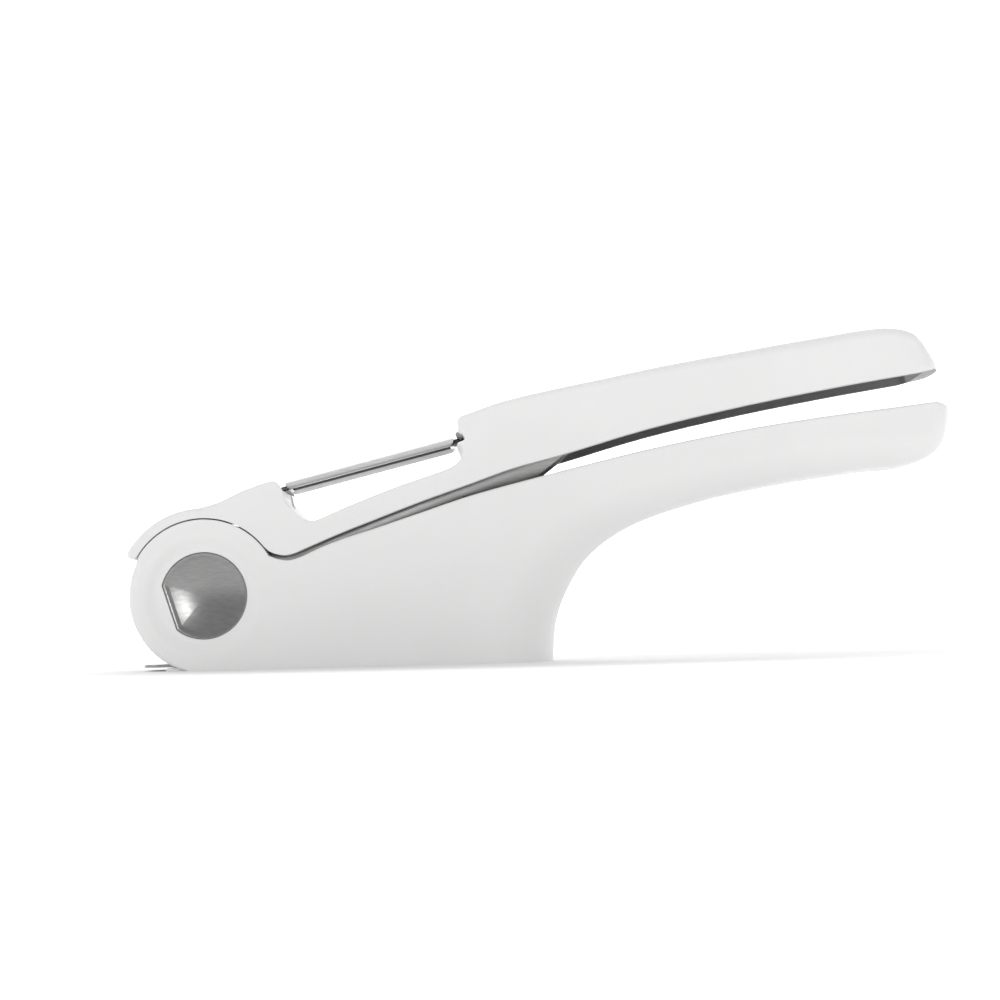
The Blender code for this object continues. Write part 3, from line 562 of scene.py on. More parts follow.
def plastic(name, tint, rough=(0.36, 0.46), grain=0.12):
    """Moulded plastic: faint clouding, a fine spark-eroded grain, slightly polished edges and painted shade in the
    hollows.
    """
    made, tree, shader = new_finish(name)
    coords = tree.nodes.new("ShaderNodeTexCoord")
    cloud = noise(tree, coords, 28.0)
    ramp = shades(tree, cloud, scaled(tint, 0.985), scaled(tint, 1.01))
    edge = worn(tree, ramp, scaled(tint, 1.06), 0.5)
    tree.links.new(edge.outputs[2], shader.inputs["Base Color"])
    # Painted shade on the walls that face the middle plane and on the lever's roof.
    paint_hollow_shade(tree, shader, coords)
    wire(tree, spread(tree, noise(tree, coords, 160.0), *rough), "Result", shader, "Roughness")
    bump = tree.nodes.new("ShaderNodeBump")
    bump.inputs["Strength"].default_value = grain
    bump.inputs["Distance"].default_value = 0.00004
    wire(tree, noise(tree, coords, 5200.0, 2.0), "Fac", bump, "Height")
    wire(tree, bump, "Normal", shader, "Normal")
    shader.inputs["IOR"].default_value = 1.46
    shader.inputs["Specular IOR Level"].default_value = 0.42
    shader.inputs["Subsurface Weight"].default_value = 0.06
    shader.inputs["Subsurface Radius"].default_value = (1.0, 1.0, 0.95)
    shader.inputs["Subsurface Scale"].default_value = 0.0015
    return made


def steel(name, tint, rough, lines, brush=0.25, turn=(0.0, 0.0, 0.0)):
    """Rolled or ground steel: fine lines one way, clouded gloss and bright edges."""
    made, tree, shader = new_finish(name)
    coords = tree.nodes.new("ShaderNodeTexCoord")
    brushed = noise(tree, coords, 1.0, 2.0, (lines, turn))
    ramp = shades(tree, brushed, scaled(tint, 0.93), scaled(tint, 1.05))
    edge = worn(tree, ramp, scaled(tint, 1.3), 0.6)
    tree.links.new(edge.outputs[2], shader.inputs["Base Color"])
    wire(tree, spread(tree, noise(tree, coords, 120.0), *rough), "Result", shader, "Roughness")
    bump = tree.nodes.new("ShaderNodeBump")
    bump.inputs["Strength"].default_value = brush
    bump.inputs["Distance"].default_value = 0.00001
    wire(tree, brushed, "Fac", bump, "Height")
    wire(tree, bump, "Normal", shader, "Normal")
    shader.inputs["Metallic"].default_value = 1.0
    return made


def paint_strip_shade_and_light(made, centre, way, reach, ground, dark, light):
    """Paints shade on an arched strip's inner face, nearer than reach to its centre line, and paints light on its
    ground edges.
    """
    tree = made.node_tree
    shader = tree.nodes["Principled BSDF"]
    coords = tree.nodes.new("ShaderNodeTexCoord")
    own = tree.nodes.new("ShaderNodeMapping")
    own.vector_type = "TEXTURE"
    own.inputs["Location"].default_value = centre
    own.inputs["Rotation"].default_value = (0.0, -atan2(way[1], way[0]), 0.0)
    flat = tree.nodes.new("ShaderNodeVectorMath")
    flat.operation = "MULTIPLY"
    flat.inputs[1].default_value = (0.0, 1.0, 1.0)
    away = tree.nodes.new("ShaderNodeVectorMath")
    away.operation = "LENGTH"
    wire(tree, coords, "Object", own, "Vector")
    wire(tree, own, "Vector", flat, 0)
    wire(tree, flat, "Vector", away, 0)
    height = tree.nodes.new("ShaderNodeSeparateXYZ")
    wire(tree, own, "Vector", height, "Vector")
    inner = stepped(tree, away, "Value", reach + 0.0001, reach - 0.0001)
    above = stepped(tree, height, "Z", ground - 0.0001, ground + 0.0001)
    # Painted shade on the inner face, painted light on its ground edges.
    painted_tone = tree.nodes.new("ShaderNodeMapRange")
    painted_tone.inputs["To Min"].default_value = light
    painted_tone.inputs["To Max"].default_value = dark
    wire(tree, above, "Result", painted_tone, "Value")
    keep = tree.nodes.new("ShaderNodeMix")
    keep.inputs["A"].default_value = 1.0
    wire(tree, inner, "Result", keep, "Factor")
    wire(tree, painted_tone, "Result", keep, "B")
    before = shader.inputs["Base Color"].links[0].from_socket
    shaded = tree.nodes.new("ShaderNodeVectorMath")
    shaded.operation = "SCALE"
    tree.links.new(before, shaded.inputs[0])
    wire(tree, keep, "Result", shaded, "Scale")
    wire(tree, shaded, "Vector", shader, "Base Color")
    return made


def finish(kind):
    """The material of one slot, made when it is first asked for."""
    label = kind + "_finish"
    found = bpy.data.materials.get(label)
    if found is not None:
        return found
    colours = bpy.context.scene.press_colours
    if kind == "white_shell":
        return plastic(label, tuple(colours.shell))
    if kind == "white_insert":
        return plastic(label, tuple(colours.insert), (0.42, 0.54), 0.2)
    if kind == "pressed_steel":
        return steel(label, tuple(colours.sheet), (0.26, 0.36), (60.0, 900.0, 2600.0))
    if kind == "polished_steel":
        return steel(label, tuple(colours.polished), (0.19, 0.23), (500.0, 60.0, 2200.0), 0.06)
    if kind == "blade_steel":
        dx, dz, size = blade_way()
        centre = blade_spot(0.0, 0.0, BLADE_CROWN - BLADE_OUTER)
        ground = steel(label, tuple(colours.blade), (0.2, 0.28), (70.0, 1500.0, 2800.0), 0.2, (0.0, -0.236, 0.0))
        # Painted shade on the blade's inner face and painted light on its ground edges.
        return paint_strip_shade_and_light(ground, centre, (dx, dz), 0.00545, 0.0033, 0.22, 1.7)
    return steel(label, tuple(colours.fastener), (0.3, 0.42), (700.0, 700.0, 700.0))


# -------------------------------------------------------------------- pieces


def sizes():
    return bpy.context.scene.press_sizes


def mm(value):
    return value / MM


def rim_height(x):
    """Height of the chamber's sloping rim over the hinge axis."""
    return 5.6 + (x - FRONT_R) * (12.8 - 5.6) / (REAR_R - FRONT_R)


def body_rows():
    """The body and its lower handle, seen from the side."""
    size = sizes()
    fillet = mm(size.boss_fillet)
    rear = mm(size.rear_rounding)
    grip = mm(size.grip_rounding)
    lip = mm(size.lip)
    boss = (rounded(arc(BOSS_R, 30.0, 146.0, 84), 0.25, 0.25) + rounded(arc(BOSS_R, 146.0, 156.0, 8), 0.25, fillet)
            + rounded(arc(BOSS_R, 156.0, 215.0, 44), fillet, fillet)
            + rounded(arc(BOSS_R, 215.0, 256.6, 30), fillet, 0.3))
    under = smooth([(83.6, BASE, rear), (84.5, -9.2, rear), (86.7, -2.4, rear - 0.3), (92.9, 7.3, rear - 1.4),
                    (103.1, 14.4, grip + 1.2), (121.4, 20.4, grip), (141.4, 24.2, grip - 0.5),
                    (161.3, 26.7, grip - 1.0), (169.1, 27.3, grip - 1.6), (175.2, 28.9, grip - 2.5),
                    (179.4, 32.2, 4.6), (181.2, 36.6, 2.6), (181.85, 39.8, 0.9), (181.75, 41.1, 0.5),
                    (180.8, 41.85, lip), (177.5, 42.0, lip), (168.4, 41.1, lip)], 8)
    top = smooth([(168.4, 41.1, lip), (149.1, 39.05, lip), (129.8, 36.4, lip), (110.5, 33.0, lip), (96.0, 29.9, lip),
                  (79.6, 26.1, lip), (64.7, 22.4, lip), (52.5, 18.6, lip), (42.3, 15.4, lip), (34.0, 12.9, lip),
                  (28.4, 10.9, lip), (23.4, 8.7, 0.5), (20.6, 8.0, 0.35), (18.1, 8.35, 0.25), (15.935, 9.2, 0.25)], 5)
    return outline(boss, [(-4.26, BASE, 0.0)], under, top)


def lever_rows():
    """The lever: wrap over the boss, horn, blade window, prong and grip."""
    edge = mm(sizes().lever_edge)
    middle = (WRAP_INNER_R + WRAP_OUTER_R) / 2
    tip = (middle * cos(radians(WRAP_END)), middle * sin(radians(WRAP_END)))
    wrap = (rounded(arc(WRAP_OUTER_R, 93.0, WRAP_END, 48), edge, 0.7)
            + rounded(arc((WRAP_OUTER_R - WRAP_INNER_R) / 2, WRAP_END, WRAP_END + 180, 14, tip), 0.6, 0.4)
            + rounded(arc(WRAP_INNER_R, WRAP_END, 37.5, 84), 0.25, 0.25))
    lower = smooth([wrap[-1], (16.2, 10.15, 0.3), (18.2, 9.4, 0.3), (20.1, 9.2, 0.3), (22.0, 9.6, 0.3),
                    (24.5, 10.6, 0.3), (32.6, 13.9, 0.3), (41.8, 17.3, 0.3), (52.6, 21.2, 0.3), (64.7, 25.2, 0.3),
                    (74.9, 28.6, 0.3), (86.6, 31.5, 0.3), (108.2, 37.4, 0.3), (132.4, 42.5, 0.3),
                    (156.5, 46.65, 0.3), (168.5, 48.45, 0.3), (178.0, 49.85, 0.25)])
    top = smooth([(178.0, 49.85, 0.25), (179.1, 50.1, 0.25), (179.4, 50.8, 0.3), (178.0, 53.8, 1.2),
                  (175.6, 56.6, 1.8), (171.4, 59.4, 2.4), (167.2, 60.3, 2.4), (163.1, 60.3, 2.4),
                  (149.6, 58.5, 2.4), (130.3, 55.55, 2.2), (111.0, 52.45, 1.8), (96.5, 49.7, 1.5),
                  (82.1, 47.0, 1.2), (72.4, 44.8, 1.0), (67.1, 43.1, 0.9), (64.3, 42.1, 0.7)], 6)
    prong = smooth([(64.3, 42.1, 0.7), (63.0, 41.7, 0.6), (62.2, 41.0, 0.5), (62.0, 40.1, 0.5), (62.3, 38.9, 0.5),
                    (62.9, 37.7, 0.4), (63.5, 36.7, 0.3), (63.7, 35.7, 0.3), (63.45, 33.7, 0.3), (63.1, 32.5, 0.3),
                    (62.2, 30.95, 0.4), (60.4, 29.5, 0.5), (57.9, 28.5, 0.6), (54.0, 27.3, 0.7)], 6)
    sill = smooth([(54.0, 27.3, 0.7), (46.3, 24.8, 0.7), (34.7, 20.5, 0.7), (29.4, 18.3, 0.7), (27.0, 17.45, 0.6),
                   (25.2, 17.5, 0.5), (23.6, 18.5, 0.3), (21.8, 20.1, 0.25), (20.5, 21.6, 0.25),
                   (19.9, 22.7, 0.25), (19.4, 24.6, 0.25), (18.75, 26.1, 0.25)], 7)
    horn = smooth([(18.75, 26.1, 0.25), (18.2, 26.85, 0.25), (17.2, 27.2, 0.35), (15.7, 26.95, 0.5),
                   (10.2, 25.2, 0.9), (3.4, 22.3, edge), (-1.11, 21.171, edge)], 8)
    return outline(wrap, lower, top, prong, sill, horn)


PRONG_BULGE = [(31.2, 0.0), (32.7, 1.2), (33.6, 1.8), (34.9, 2.4), (35.75, 2.3), (35.9, 1.2), (36.0, 0.1),
               (37.35, 0.1), (37.45, 1.1), (38.0, 1.8), (38.7, 1.0), (39.3, 0.4), (40.6, 0.5), (41.5, 0.0)]


def window_bulge(x, z):
    """How far the window's far end stands into it at mid width, beside the blade."""
    if 61.0 < x < 64.5 and z > 30.0:
        return -between(PRONG_BULGE, z)
    return 0.0


def blade_way():
    """Unit direction of the blade's axis, and its length."""
    dx = BLADE_END[0] - BLADE_START[0]
    dz = BLADE_END[1] - BLADE_START[1]
    size = hypot(dx, dz)
    return dx / size, dz / size, size


def blade_spot(along, y, up):
    """A place in the blade's own frame: along its axis, across it and square to both."""
    dx, dz, size = blade_way()
    y, up = (y * cos(radians(BLADE_ROLL)) - up * sin(radians(BLADE_ROLL)),
             y * sin(radians(BLADE_ROLL)) + up * cos(radians(BLADE_ROLL)))
    return at(BLADE_START[0] + dx * along - dz * up, y, BLADE_START[1] + dz * along + dx * up)


def dish(side):
    """Tool for the dished ring round a hinge plug."""
    depth = mm(sizes().dish_depth)
    steps = 14
    inner = PLUG_R + 0.7
    profile = [(0.3, HALF - depth), (PLUG_R - 2.2, HALF - depth), (inner, HALF - depth)]
    for i in range(1, steps + 1):
        share = i / steps
        profile.append((inner + (DISH_R - inner) * share, HALF - depth * (1 + cos(pi * share)) / 2))
    profile.append((DISH_R + 0.2, HALF + 0.6))
    profile.append((0.3, HALF + 0.6))
    return lathe("dish_tool", profile, side)


def plug_ring(radius, flat, steps=96):
    """A circle with a flat, so that the plug can't turn."""
    half = degrees(acos(flat / radius))
    return arc(radius, PLUG_FLAT_ANGLE + half, PLUG_FLAT_ANGLE - half + 360, steps)


def web_frame():
    """Start, direction and normal of the flat web on which the lever's arm sits."""
    start = (19.5, 11.3)
    end = (90.0, 36.4)
    size = hypot(end[0] - start[0], end[1] - start[1])
    way = ((end[0] - start[0]) / size, (end[1] - start[1]) / size)
    return start, way, (-way[1], way[0])


def web_point(x, lift):
    """A place on the web's upper face at x, lifted square to it."""
    start, way, normal = web_frame()
    run = (x - start[0]) / way[0]
    return start[0] + way[0] * run + normal[0] * lift, start[1] + way[1] * run + normal[1] * lift


class PRESS_OT_body(bpy.types.Operator):
    """Builds the body: boss, chamber walls and lower handle"""

    bl_idname = "press.body"
    bl_label = "Body"

    def execute(self, context):
        body = shell("shell_body", body_rows(), 175.5)
        cavity = arc(CAVITY_R, 112.0, 340.0, 60)
        passage = [(17.0, 1.0), (23.4, rim_height(FRONT_R) - 0.4), (24.5, 22.0), (8.0, 22.0),
                   (22.0 * cos(radians(112)), 22.0 * sin(radians(112)))]
        carve(body, prism("tool", cavity + passage, CHEEK_INNER))
        depth = HINGE_Z + 1.0
        front = FRONT_R - 1.1
        rear = REAR_R + 1.1
        chamber = (arc(front, -degrees(asin(depth / front)), 55.0, 30)
                   + arc(rear, 55.0, -degrees(asin(depth / rear)), 40))
        carve(body, prism("tool", chamber, CHAMBER_HALF))
        over_rim = [(22.6, rim_height(22.6) - 0.4), (54.6, rim_height(54.6) - 0.4), (60.0, 16.0), (60.0, 40.0),
                    (22.6, 40.0)]
        carve(body, prism("tool", over_rim, CHAMBER_HALF + 0.4))
        ledge = BASE + 3.0
        carve(body, prism("tool", [(15.2, ledge), (52.9, ledge), (52.9, BASE - 1), (15.2, BASE - 1)], CHAMBER_HALF))
        slot = [(-22.0, BASE + 1.9), (52.9, BASE + 1.9), (52.9, BASE - 1), (-22.0, BASE - 1)]
        carve(body, prism("tool", slot, 10.2))
        tray = [(-22.0, BASE + 0.75), (62.3, BASE + 0.75), (62.3, BASE - 1), (-22.0, BASE - 1)]
        carve(body, prism("tool", tray, 12.9))
        trough = ([(54.4, 40.0)] + arc(5.5, 180.0, 270.0, 10, (59.9, 19.9))
                  + smooth([(66.0, 14.35), (74.0, 14.1), (84.0, 13.6), (94.0, 15.2), (106.0, 19.4), (122.0, 23.8),
                            (141.0, 27.2), (157.0, 29.3), (166.0, 30.4)])
                  + arc(7.0, 278.0, 360.0, 10, (168.8, 37.5)) + [(175.8, 50.0)])
        carve(body, trough_tool(trough))
        for side in (-1, 1):
            pocket = [(63.2, BASE - 1), (78.4, BASE - 1), (79.0, -9.0), (81.0, -2.0), (84.0, 5.0), (82.5, 9.0),
                      (66.0, 11.0), (63.2, 9.5)]
            carve(body, prism("tool", pocket, 3.6, side * 4.8))
            carve(body, screw_seat(57.6, side * 6.5))
            carve(body, dish(side))
        for side in (-1, 1):
            hole = [at(x, side * across, z) for across in (CHEEK_INNER - 0.8, HALF + 1.0)
                    for x, z in plug_ring(PLUG_R, PLUG_FLAT)]
            half = len(hole) // 2
            carve(body, loft("tool", [hole[:half], hole[half:]]))
        shade(body)
        place(body, finish("white_shell"), "white_shell", "press_body", "body")
        return {"FINISHED"}


def screw_seat(x, y, sides=36):
    """Tool for the seat of the base frame's pad and the pilot of its screw."""
    rings = []
    for radius, level in ((2.9, -1.0), (2.9, 2.25), (1.1, 2.25), (1.1, 8.0)):
        rings.append([at(x + radius * cos(2 * pi * i / sides), y + radius * sin(2 * pi * i / sides), BASE + level)
                      for i in range(sides)])
    return loft("tool", rings)


def trough_tool(points):
    """Tool for the hollow of the lower handle, with a rounded floor and a rounded far end."""
    rings = []
    half = 10.6
    rounding = 3.0
    steps = 8
    levels = [half - rounding + rounding * sin(pi / 2 * k / steps) for k in range(steps + 1)]
    rows = [(x, z, 0.0) for x, z in points]
    for y in [-level for level in reversed(levels)] + levels:
        past = abs(y) - (half - rounding)
        lift = rounding - sqrt(max(rounding ** 2 - past ** 2, 0.0))
        ring = []
        for x, z in inset_open(rows, lift):
            if x > 168.0:
                x = 168.0 + (x - 168.0) * sqrt(1.0 - (abs(y) / half) ** 3 * 0.9)
            ring.append(at(x, y, z))
        rings.append(ring)
    return loft("tool", rings)


def inset_open(rows, amount):
    """An open floor line lifted off itself, its two upper ends kept at their height."""
    last = len(rows) - 1
    moved = []
    for i, here in enumerate(rows):
        nx, nz = inward(rows[max(i - 1, 0)], rows[min(i + 1, last)])
        if i in (0, last):
            nz = 0.0
        moved.append((here[0] + nx * amount, here[1] + nz * amount))
    return moved


class PRESS_OT_lever(bpy.types.Operator):
    """Builds the lever: wrap, horn, blade window, prong and hollow grip"""

    bl_idname = "press.lever"
    bl_label = "Lever"

    def execute(self, context):
        lever = shell("shell_lever", lever_rows(), 173.0, window_bulge)
        wall = mm(sizes().skin)
        roof = smooth([(10.2, 16.25), (15.5, 18.7), (19.0, 17.0), (22.5, 14.2), (27.0, 14.7), (34.7, 18.0),
                       (46.3, 22.2), (57.9, 25.9), (62.3, 28.0), (65.4, 31.0), (66.6, 35.0), (68.5, 39.5),
                       (73.0, 41.9), (82.7, 44.2), (97.0, 46.9), (111.5, 49.6), (130.8, 52.8), (150.0, 55.9),
                       (160.0, 57.3), (166.5, 57.5), (170.5, 56.6), (173.2, 54.4), (174.8, 51.0), (175.3, 46.0)])
        floor = [(156.5, 42.0), (132.4, 38.0), (108.2, 32.0), (86.6, 26.0), (64.7, 20.0), (41.8, 12.0),
                 (24.5, 5.0), (12.0, 6.0)]
        hollow = hollow_tool(roof, floor, HALF - wall)
        foot = web_point(75.0, 0.3)
        top = web_point(75.0, 14.0)
        carve(hollow, bar("post", 3.6, (foot[0], 0.0, foot[1]), (top[0], 0.0, top[1]), 40))
        carve(lever, hollow)
        for x in (57.0, 75.0):
            low = web_point(x, -2.2)
            high = web_point(x, 2.2)
            carve(lever, bar("tool", 1.3, (low[0], 0.0, low[1]), (high[0], 0.0, high[1]), 20))
        carve(lever, prism("tool", [(15.2, 23.9), (26.0, 26.5), (26.0, 34.0), (15.2, 34.0)], 12.2))
        size = blade_way()[2]
        carve(lever, bar_along("tool", 5.6, 1.4, size - 1.3, 64))
        carve(lever, bar_along("tool", 2.6, size - 1.5, size - 0.1, 40))
        for first, last in ((-4.4, -1.6), (size - 1.5, size + 3.8)):
            carve(lever, bar_along("tool", 0.95, first, last, 24))
        shade(lever)
        place(lever, finish("white_shell"), "white_shell", "handle_lever", "lever")
        return {"FINISHED"}


def hollow_tool(roof, floor, half):
    """Tool for the lever's hollow, rounded along the roof's sides and in plan at the tip."""
    rings = []
    rounding = 1.8
    steps = 6
    levels = [half - rounding + rounding * sin(pi / 2 * k / steps) for k in range(steps + 1)]
    rows = [(x, z, 0.0) for x, z in roof]
    for y in [-level for level in reversed(levels)] + levels:
        past = abs(y) - (half - rounding)
        lift = rounding - sqrt(max(rounding ** 2 - past ** 2, 0.0))
        ring = []
        for x, z in inset_open(rows, -lift) + floor:
            if x > 168.0:
                x = 168.0 + (x - 168.0) * sqrt(1.0 - (abs(y) / half) ** 5 * 0.25)
            ring.append(at(x, y, z))
        rings.append(ring)
    return loft("tool", rings)


class PRESS_OT_plugs(bpy.types.Operator):
    """Builds the two dished hinge plugs, each with its flat"""

    bl_idname = "press.plugs"
    bl_label = "Hinge plugs"

    def execute(self, context):
        sag = mm(sizes().plug_sag)
        rim = HALF - 1.0
        radius = PLUG_R - 0.06
        flat = PLUG_FLAT - 0.06
        corner = 0.12
        ball = (radius ** 2 + sag ** 2) / (2 * sag)
        plan = plug_ring(radius, flat, 95)
        rows = [(x, z, 0.0) for x, z in plan]
        for side in (-1, 1):
            rings = []
            spigot = arc(SPIGOT_R, PLUG_FLAT_ANGLE, PLUG_FLAT_ANGLE + 360.0 * 95 / 96, 95)
            for drop, across in ((0.3, SPIGOT_END), (0.0, SPIGOT_END + 0.3)):
                share = (SPIGOT_R - drop) / SPIGOT_R
                rings.append([at(x * share, side * across, z * share) for x, z in spigot])
            rings.append([at(x, side * 10.8, z) for x, z in spigot])
            for drop, across in ((0.2, 10.8), (0.0, 11.0)):
                rings.append([at(x, side * across, z) for x, z in inset(rows, [drop] * len(rows))])
            for k in range(7):
                turn = pi / 2 * k / 6
                drop = corner * (1 - cos(turn))
                across = rim - corner + corner * sin(turn)
                rings.append([at(x, side * across, z) for x, z in inset(rows, [drop] * len(rows))])
            edge = inset(rows, [corner] * len(rows))
            for k in range(1, 25):
                share = 1.0 - k / 25.0
                ring = []
                for x, z in edge:
                    reach = hypot(x, z) * share
                    depth = sqrt(ball ** 2 - reach ** 2) - (ball - sag)
                    blend = min(k / 3.0, 1.0)
                    ring.append(at(x * share, side * (rim - depth * blend), z * share))
                rings.append(ring)
            name = "hinge_plug_left" if side > 0 else "hinge_plug_right"
            plug = loft(name, rings)
            shade(plug, 32.0)
            node = "axle_plug_left" if side > 0 else "axle_plug_right"
            place(plug, finish("polished_steel"), "polished_steel", "press_body", node)
        return {"FINISHED"}


class PRESS_OT_blade(bpy.types.Operator):
    """Builds the swivel blade and its two pins"""

    bl_idname = "press.blade"
    bl_label = "Peeler blade and pins"

    def execute(self, context):
        thick = mm(sizes().blade_steel)
        outer = BLADE_OUTER
        drop = outer - BLADE_CROWN
        size = blade_way()[2]
        first = 1.7
        last = size - 1.8
        stations = [(0.0, 3.7), (0.12, 4.15), (0.4, 4.6), (0.9, 4.9), (1.6, 5.0)]
        along = [(first + a, c) for a, c in stations]
        along += [(first + 6.0 + (last - first - 12.0) * k / 12.0, 5.0) for k in range(13)]
        along += [(last - a, c) for a, c in reversed(stations)]
        rings = []
        steps = 22
        for place_along, chord in along:
            reach = asin(chord / outer)
            ring = []
            for k in range(steps + 1):
                turn = -reach + 2 * reach * k / steps
                ring.append(blade_spot(place_along, outer * sin(turn), outer * cos(turn) - drop))
            inner = outer - thick
            ground = reach - 0.03
            for k in range(steps + 1):
                turn = ground - 2 * ground * k / steps
                ring.append(blade_spot(place_along, inner * sin(turn), inner * cos(turn) - drop))
            rings.append(ring)
        blade = loft("swivel_blade_strip", rings)
        slot = [(4.6, -1.1), (size / 2, -0.7), (size - 6.4, -1.1), (size - 5.6, -0.6), (size - 5.6, 0.6),
                (size - 6.4, 1.1), (size / 2, 0.7), (4.6, 1.1), (3.8, 0.6), (3.8, -0.6)]
        carve(blade, loft("tool", [[blade_spot(a, y, up) for a, y in slot] for up in (-4.0, 6.0)]))
        for start, end, half, low, high in ((first + 0.35, first + 1.35, 2.4, -0.95, 1.25),
                                            (last - 1.3, last - 0.3, 2.6, -0.85, 1.25)):
            lug = [(-half, low), (half, low), (half * 0.8, high), (-half * 0.8, high)]
            carve(blade, loft("tool", [[blade_spot(a, y, up) for y, up in lug] for a in (start, end)]), "UNION")
        tongue = [(-2.1, -0.55), (2.1, -0.55), (2.1, 0.62), (-2.1, 0.62)]
        narrow = [(-1.7, -0.5), (1.7, -0.5), (1.7, 0.5), (-1.7, 0.5)]
        carve(blade, loft("tool", [[blade_spot(a, y, up) for y, up in part] for a, part in
                                   ((last - 0.6, tongue), (last + 1.2, tongue), (size - 0.35, narrow))]), "UNION")
        carve(blade, bar_along("tool", 0.8, -3.0, size - 1.4, 24))
        soften(blade, 0.00007, 40.0, 2)
        shade(blade, 38.0)
        place(blade, finish("blade_steel"), "blade_steel", "swivel_blade", "peeler_blade")
        for name, start, end in (("blade_pin_front", -3.6, first + 1.3), ("blade_pin_rear", size - 3.1, size + 2.3)):
            pin = bar_along(name, 0.65, start, end, 32)
            soften(pin, 0.0001, 50.0, 2)
            shade(pin, 50.0)
            node = "peeler_pin_front" if start < 0 else "peeler_pin_rear"
            place(pin, finish("blade_steel"), "blade_steel", "handle_lever", node)
        return {"FINISHED"}


def bar_along(name, radius, start, end, sides):
    """A round bar on the blade's axis."""
    dx, dz, size = blade_way()
    near = (BLADE_START[0] + dx * start, 0.0, BLADE_START[1] + dz * start)
    far = (BLADE_START[0] + dx * end, 0.0, BLADE_START[1] + dz * end)
    return bar(name, radius, near, far, sides)


class PRESS_OT_strainer(bpy.types.Operator):
    """Builds the strainer plate that slides in under the chamber"""

    bl_idname = "press.strainer"
    bl_label = "Strainer"

    def execute(self, context):
        front = -16.1
        rear = 51.6
        half = 9.9
        corner = arc(5.0, 90.0, 180.0, 14, (front + 5.0, half - 5.0))
        plan = ([(rear, half)] + corner + [(x, -y) for x, y in reversed(corner)] + [(rear, -half)])
        sieve = plate("strainer_plate", plan, 0.9, 1.6)
        columns = 8
        for i in range(columns):
            x = 33.2 + (i - (columns - 1) / 2) * 3.1
            count = 5 if i % 2 == 0 else 4
            for k in range(count):
                y = (k - (count - 1) / 2) * 3.1
                carve(sieve, bar("tool", mm(sizes().sieve_hole), (x, y, BASE), (x, y, BASE + 3.0), 20))
        carve(sieve, bar("tool", 2.2, (-10.6, 0.0, BASE), (-10.6, 0.0, BASE + 3.0), 40))
        soften(sieve, sizes().eased * 0.6, 40.0, 2)
        shade(sieve, 40.0)
        place(sieve, finish("pressed_steel"), "pressed_steel", "strainer", "sieve_plate")
        return {"FINISHED"}


class PRESS_OT_steelwork(bpy.types.Operator):
    """Builds the arm, the hopper and the hinge sleeve with eased edges"""

    bl_idname = "press.steelwork"
    bl_label = "Arm, hopper and sleeve"

    def execute(self, context):
        for name, node, body in (("arm_channel", "press_arm", "handle_lever"),
                                 ("chamber_hopper", "hopper", "press_body"),
                                 ("hinge_sleeve", "axle_sleeve", "press_body")):
            piece = refined(name, node, sizes().eased)
            place(piece, finish("pressed_steel"), "pressed_steel", body, node)
        return {"FINISHED"}


class PRESS_OT_inserts(bpy.types.Operator):
    """Builds the base frame, the pusher and the thrust washers"""

    bl_idname = "press.inserts"
    bl_label = "Base frame, pusher and washers"

    def execute(self, context):
        for name, node, slot, body in (("bottom_frame", "base_frame", "white_shell", "press_body"),
                                       ("garlic_pusher", "pusher", "white_insert", "handle_lever"),
                                       ("washer_left", "thrust_washer_left", "white_insert", "handle_lever"),
                                       ("washer_right", "thrust_washer_right", "white_insert", "handle_lever")):
            piece = refined(name, node, sizes().eased)
            place(piece, finish(slot), slot, body, node)
        return {"FINISHED"}


class PRESS_OT_screws(bpy.types.Operator):
    """Builds the screws"""

    bl_idname = "press.screws"
    bl_label = "Screws"

    def execute(self, context):
        for node in ("arm_screw_front", "arm_screw_rear", "pusher_screw_front", "pusher_screw_rear",
                     "base_screw_left", "base_screw_right"):
            body = "press_body" if node.startswith("base") else "handle_lever"
            piece = refined(node + "_turned", node, sizes().eased * 0.5, 45.0)
            place(piece, finish("fastener_steel"), "fastener_steel", body, node)
        return {"FINISHED"}


# --------------------------------------------------------------------- stage


def aim(item, target):
    item.rotation_mode = "QUATERNION"
    item.rotation_quaternion = (Vector(target) - item.location).to_track_quat("-Z", "Y")


def soft_light(name, spot, target, width, height, power):
    deselect()
    bpy.ops.object.light_add(type="AREA", location=spot)
    made = bpy.context.object
    made.name = name
    made.data.shape = "RECTANGLE"
    made.data.size = width
    made.data.size_y = height
    made.data.energy = power
    aim(made, target)
    return made


def plain(name, tint, glow=0.0, rough=0.8):
    made, tree, shader = new_finish(name)
    shader.inputs["Base Color"].default_value = (*tint, 1.0)
    shader.inputs["Roughness"].default_value = rough
    shader.inputs["Emission Color"].default_value = (1.0, 1.0, 1.0, 1.0)
    shader.inputs["Emission Strength"].default_value = glow
    return made


def floor_paper(tint, glow):
    """Pale paper with a faint glow, a painted light that fades out near the press, so that the paper there and the
    press's undersides stay shaded.
    """
    made = plain("floor_paper", tint)
    tree = made.node_tree
    coords = tree.nodes.new("ShaderNodeTexCoord")
    squeeze = tree.nodes.new("ShaderNodeMapping")
    squeeze.inputs["Scale"].default_value = (0.5, 1.0, 1.0)
    reach = tree.nodes.new("ShaderNodeVectorMath")
    reach.operation = "LENGTH"
    fade = tree.nodes.new("ShaderNodeMapRange")
    fade.interpolation_type = "SMOOTHSTEP"
    fade.inputs["From Min"].default_value = 0.03
    fade.inputs["From Max"].default_value = 0.11
    fade.inputs["To Min"].default_value = 0.0
    fade.inputs["To Max"].default_value = glow
    wire(tree, coords, "Object", squeeze, "Vector")
    wire(tree, squeeze, "Vector", reach, 0)
    wire(tree, reach, "Value", fade, "Value")
    wire(tree, fade, "Result", tree.nodes["Principled BSDF"], "Emission Strength")
    return made


